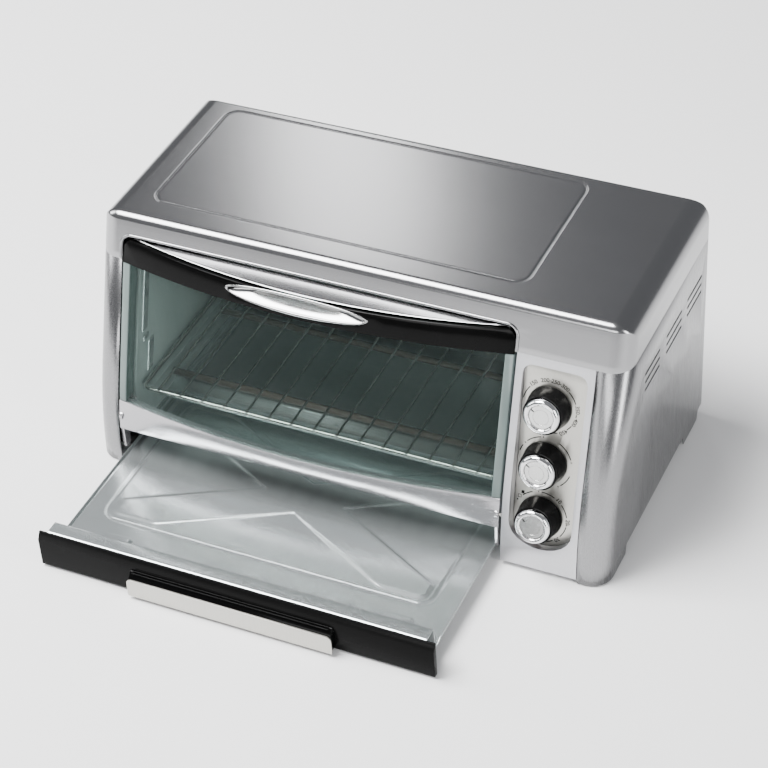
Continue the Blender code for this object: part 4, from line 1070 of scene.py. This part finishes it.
def makeKnob(name, row):
    place = platePlace(row * dial["pitch"], dial["x"])
    body = f"{name}_dial"
    tip, base, ring, disc = knob["tip"], knob["base"], knob["ring"], knob["disc"]
    height, stand, clear = knob["height"], knob["stand"], knob["clear"]
    seat = height - knob["seat"]
    skirt = [(0, seat), (ring + clear, seat), (ring + clear, height - 0.0004), (ring + 2 * clear, height)]
    skirt += [(tip - 0.0008, height), (tip - 0.0002, height - 0.0003), (tip, height - 0.0010)]
    skirt += [(base - 0.0005, stand + 0.0022), (base - 0.0001, stand + 0.0012), (base, stand + 0.0004)]
    skirt += [(base - 0.0004, stand), (base - 0.0020, stand), (tip - 0.0024, seat - 0.0022), (0, seat - 0.0022)]
    addTurnedPiece(f"{name}KnobSkirt", skirt, place, "knobBlack", body, (f"{name}_knob",))
    low = seat + clear
    high = low + knob["ringTall"]
    hole = disc + 0.0002
    rim = [(hole, low + 0.0010), (hole, high - 0.0012), (disc + 0.0009, high - 0.0003), (disc + 0.0016, high)]
    rim += [(ring - 0.0024, high - 0.0001), (ring - 0.0012, high - 0.0008), (ring - 0.0003, high - 0.0024)]
    rim += [(ring, low + 0.0016), (ring, low), (hole, low), (hole, low + 0.0010)]
    addTurnedPiece(f"{name}KnobRim", rim, place, "brightChrome", body, (f"{name}_knob_ring",))
    face = high - knob["faceDrop"]
    plate = [(0, face), (disc * 0.60, face), (disc * 0.62, face - 0.0003), (disc * 0.66, face - 0.0003)]
    plate += [(disc * 0.68, face), (disc - 0.0004, face), (disc, face - 0.0004), (disc, low), (0, low)]
    addTurnedPiece(f"{name}KnobDisc", plate, place, "satinDisc", body)
    shape = bmesh.new()
    turned = place @ Matrix.Rotation(knob["pointer"], 4, "Z")
    addBox(shape, turned, (disc * 0.70, disc * 0.98), (-0.0005, 0.0005), (face - 0.0004, face + 0.00025))
    made = addPiece(f"{name}KnobPointer", shape, "dialInk", body, angle=30)
    roundEdges(made, 0.0001, 2)


knobRows = (("temperature", 1), ("function", 0), ("timer", -1))
for name, row in knobRows:
    makeKnob(name, row)


def inkPlace(row):
    return platePlace(row * dial["pitch"], dial["x"], dial["lift"])


def addInkArc(shape, row, start, end):
    place = inkPlace(row)
    half = dial["arcWidth"] / 2
    low, high, ink = dial["arcRadius"] - half, dial["arcRadius"] + half, dial["ink"]
    rings = []
    for angle in spread(math.radians(start), math.radians(end), max(3, round(abs(end - start) / 6))):
        across, up = math.cos(angle), math.sin(angle)
        section = ((low, 0), (high, 0), (high, ink), (low, ink))
        rings.append([place @ Vector((r * across, r * up, h)) for r, h in section])
    rows = addGrid(shape, rings, closed=True)
    shape.faces.new(rows[0])
    shape.faces.new(list(reversed(rows[-1])))


def addInkBar(shape, row, angle, middle, half, width):
    place = inkPlace(row) @ Matrix.Rotation(math.radians(angle), 4, "Z")
    addBox(shape, place, (middle - half, middle + half), (-width / 2, width / 2), (0, dial["ink"]))


def addNumber(shape, text, row, angle, radius):
    # a printed number, standing square to the dial's radius
    curve = bpy.data.curves.new("number", "FONT")
    curve.body = text
    curve.size = dial["numberHeight"]
    curve.align_x = "CENTER"
    curve.align_y = "CENTER"
    curve.extrude = dial["ink"] / 2
    curve.offset = dial["bold"]
    curve.resolution_u = 3
    letter = bpy.data.objects.new("number", curve)
    bpy.context.scene.collection.objects.link(letter)
    bpy.context.view_layer.update()
    mesh = bpy.data.meshes.new_from_object(letter.evaluated_get(bpy.context.evaluated_depsgraph_get()))
    bpy.data.objects.remove(letter)
    place = platePlace(row * dial["pitch"], dial["x"], dial["lift"] + dial["ink"] / 2)
    turn = math.radians(angle)
    spot = Matrix.Translation((radius * math.cos(turn), radius * math.sin(turn), 0))
    mesh.transform(place @ spot @ Matrix.Rotation(turn - math.pi / 2, 4, "Z"))
    shape.from_mesh(mesh)
    bpy.data.meshes.remove(mesh)


numbers = {
    1: ((130, "150"), (104, "200"), (82, "250"), (60, "300"), (8, "350"), (-21, "400"), (-56, "450")),
    -1: ((52, "10"), (2, "20"), (-48, "30")),
}
arcs = {
    1: ((141, 172), (20, 49), (-3, -10), (-32, -46), (-68, -86)),
    0: ((103, 136), (20, 62), (-18, -50), (150, 166)),
    -1: ((112, 136), (62, 92), (12, 42), (-10, -38), (-58, -76)),
}
ticks = {0: (98, 14, -56, 142), -1: (98, 56, -6)}
dots = (92, 71)
timerMarks = (
    # x, y, half width, half height: a square, an outlined square and a dot
    (-0.0165, 0.0185, 0.0013, 0.0015),
    (-0.0190, 0.0157, 0.0013, 0.00022),
    (-0.0190, 0.0131, 0.0013, 0.00022),
    (-0.0203, 0.0144, 0.00022, 0.0015),
    (-0.0177, 0.0144, 0.00022, 0.0015),
    (-0.0206, 0.0108, 0.0006, 0.0006),
)


def makeDialPrint():
    shape = bmesh.new()
    for row, marks in numbers.items():
        for angle, text in marks:
            addNumber(shape, text, row, angle, dial["numberRadius"])
    for row, spans in arcs.items():
        for start, end in spans:
            addInkArc(shape, row, start, end)
    for row, angles in ticks.items():
        for angle in angles:
            addInkBar(shape, row, angle, dial["arcRadius"], 0.0007, 0.0008)
    for angle in dots:
        addInkBar(shape, 1, angle, dial["numberRadius"], 0.0003, 0.0012)
    for x, y, wide, tall in timerMarks:
        addBox(shape, inkPlace(-1), (x - wide, x + wide), (y - tall, y + tall), (0, dial["ink"]))
    addPiece("dialPrint", shape, "dialInk", "casing", angle=30)


makeDialPrint()
print("dials made")

# ---- floor, light and camera

stage = {
    "floor": 3.0,
    "world": 0.30,
    "target": (-0.04729, 0.12737, -0.01346),
    "distance": 2.17507,
    "azimuth": 26.58,
    "elevation": 39.35,
    "roll": -3.72,
    "focal": 2399.67 / 768,
    "shift": (-1.464 / 768, 0.375 / 768),
}
lamps = (
    # name, place, aim, width, depth, power
    ("leftSoftbox", (-2.4, -0.2, 1.2), (0, 0, 0.1), 1.0, 1.4, 40.0),
    ("rightSoftbox", (2.4, -1.0, 0.9), (0.1, 0, 0.1), 0.6, 1.6, 40.0),
    ("topSoftbox", (-1.0, -0.45, 2.4), (0, 0, 0.1), 1.5, 1.5, 210.0),
    ("rearStrip", (-1.14, 2.2, 1.75), (0, 0, 0.2), 0.3, 0.6, 4.6),
    ("frontSoftbox", (0.2, -2.6, 0.9), (0, 0, 0.1), 1.6, 0.7, 26.0),
)


def makeFloor():
    finish = Finish("paleFloor")
    mottle = finish.noise(3.0, detail=2.0)
    finish.surface(
        Base_Color=finish.tint(mottle, (0.86, 0.86, 0.86), (0.89, 0.89, 0.89)),
        Roughness=0.85 + mottle * 0.05,
    )
    shape = bmesh.new()
    bmesh.ops.create_grid(shape, x_segments=2, y_segments=2, size=stage["floor"])
    mesh = bpy.data.meshes.new("floor")
    shape.to_mesh(mesh)
    shape.free()
    mesh.materials.append(finish.material)
    made = bpy.data.objects.new("floor", mesh)
    made.location.z = cadBox[0].z - 0.0002
    bpy.context.scene.collection.objects.link(made)


def makeLamp(name, place, aim, width, depth, power):
    light = bpy.data.lights.new(name, "AREA")
    light.shape = "RECTANGLE"
    light.size = width
    light.size_y = depth
    light.energy = power
    made = bpy.data.objects.new(name, light)
    made.location = place
    made.rotation_mode = "QUATERNION"
    made.rotation_quaternion = (Vector(aim) - Vector(place)).to_track_quat("-Z", "Y")
    bpy.context.scene.collection.objects.link(made)


def makeCamera():
    azimuth, elevation = math.radians(stage["azimuth"]), math.radians(stage["elevation"])
    roll = math.radians(stage["roll"])
    level = math.cos(elevation)
    back = Vector((math.sin(azimuth) * level, -math.cos(azimuth) * level, math.sin(elevation)))
    right = (-back).cross(Vector((0, 0, 1))).normalized()
    up = right.cross(-back)
    across = right * math.cos(roll) + up * math.sin(roll)
    upward = up * math.cos(roll) - right * math.sin(roll)
    lens = bpy.data.cameras.new("camera")
    lens.sensor_width = 36.0
    lens.lens = 36.0 * stage["focal"]
    lens.shift_x, lens.shift_y = stage["shift"]
    lens.clip_end = 50.0
    made = bpy.data.objects.new("camera", lens)
    bpy.context.scene.collection.objects.link(made)
    place = Matrix((across, upward, back)).transposed().to_4x4()
    place.translation = Vector(stage["target"]) + back * stage["distance"]
    made.matrix_world = place
    bpy.context.scene.camera = made


def makeWorld():
    world = bpy.data.worlds.new("studio")
    world.use_nodes = True
    bpy.context.scene.world = world
    background = world.node_tree.nodes["Background"]
    background.inputs["Color"].default_value = (0.93, 0.95, 1.0, 1.0)
    background.inputs["Strength"].default_value = stage["world"]


makeFloor()
for lamp in lamps:
    makeLamp(*lamp)
makeWorld()
makeCamera()
print("stage made")
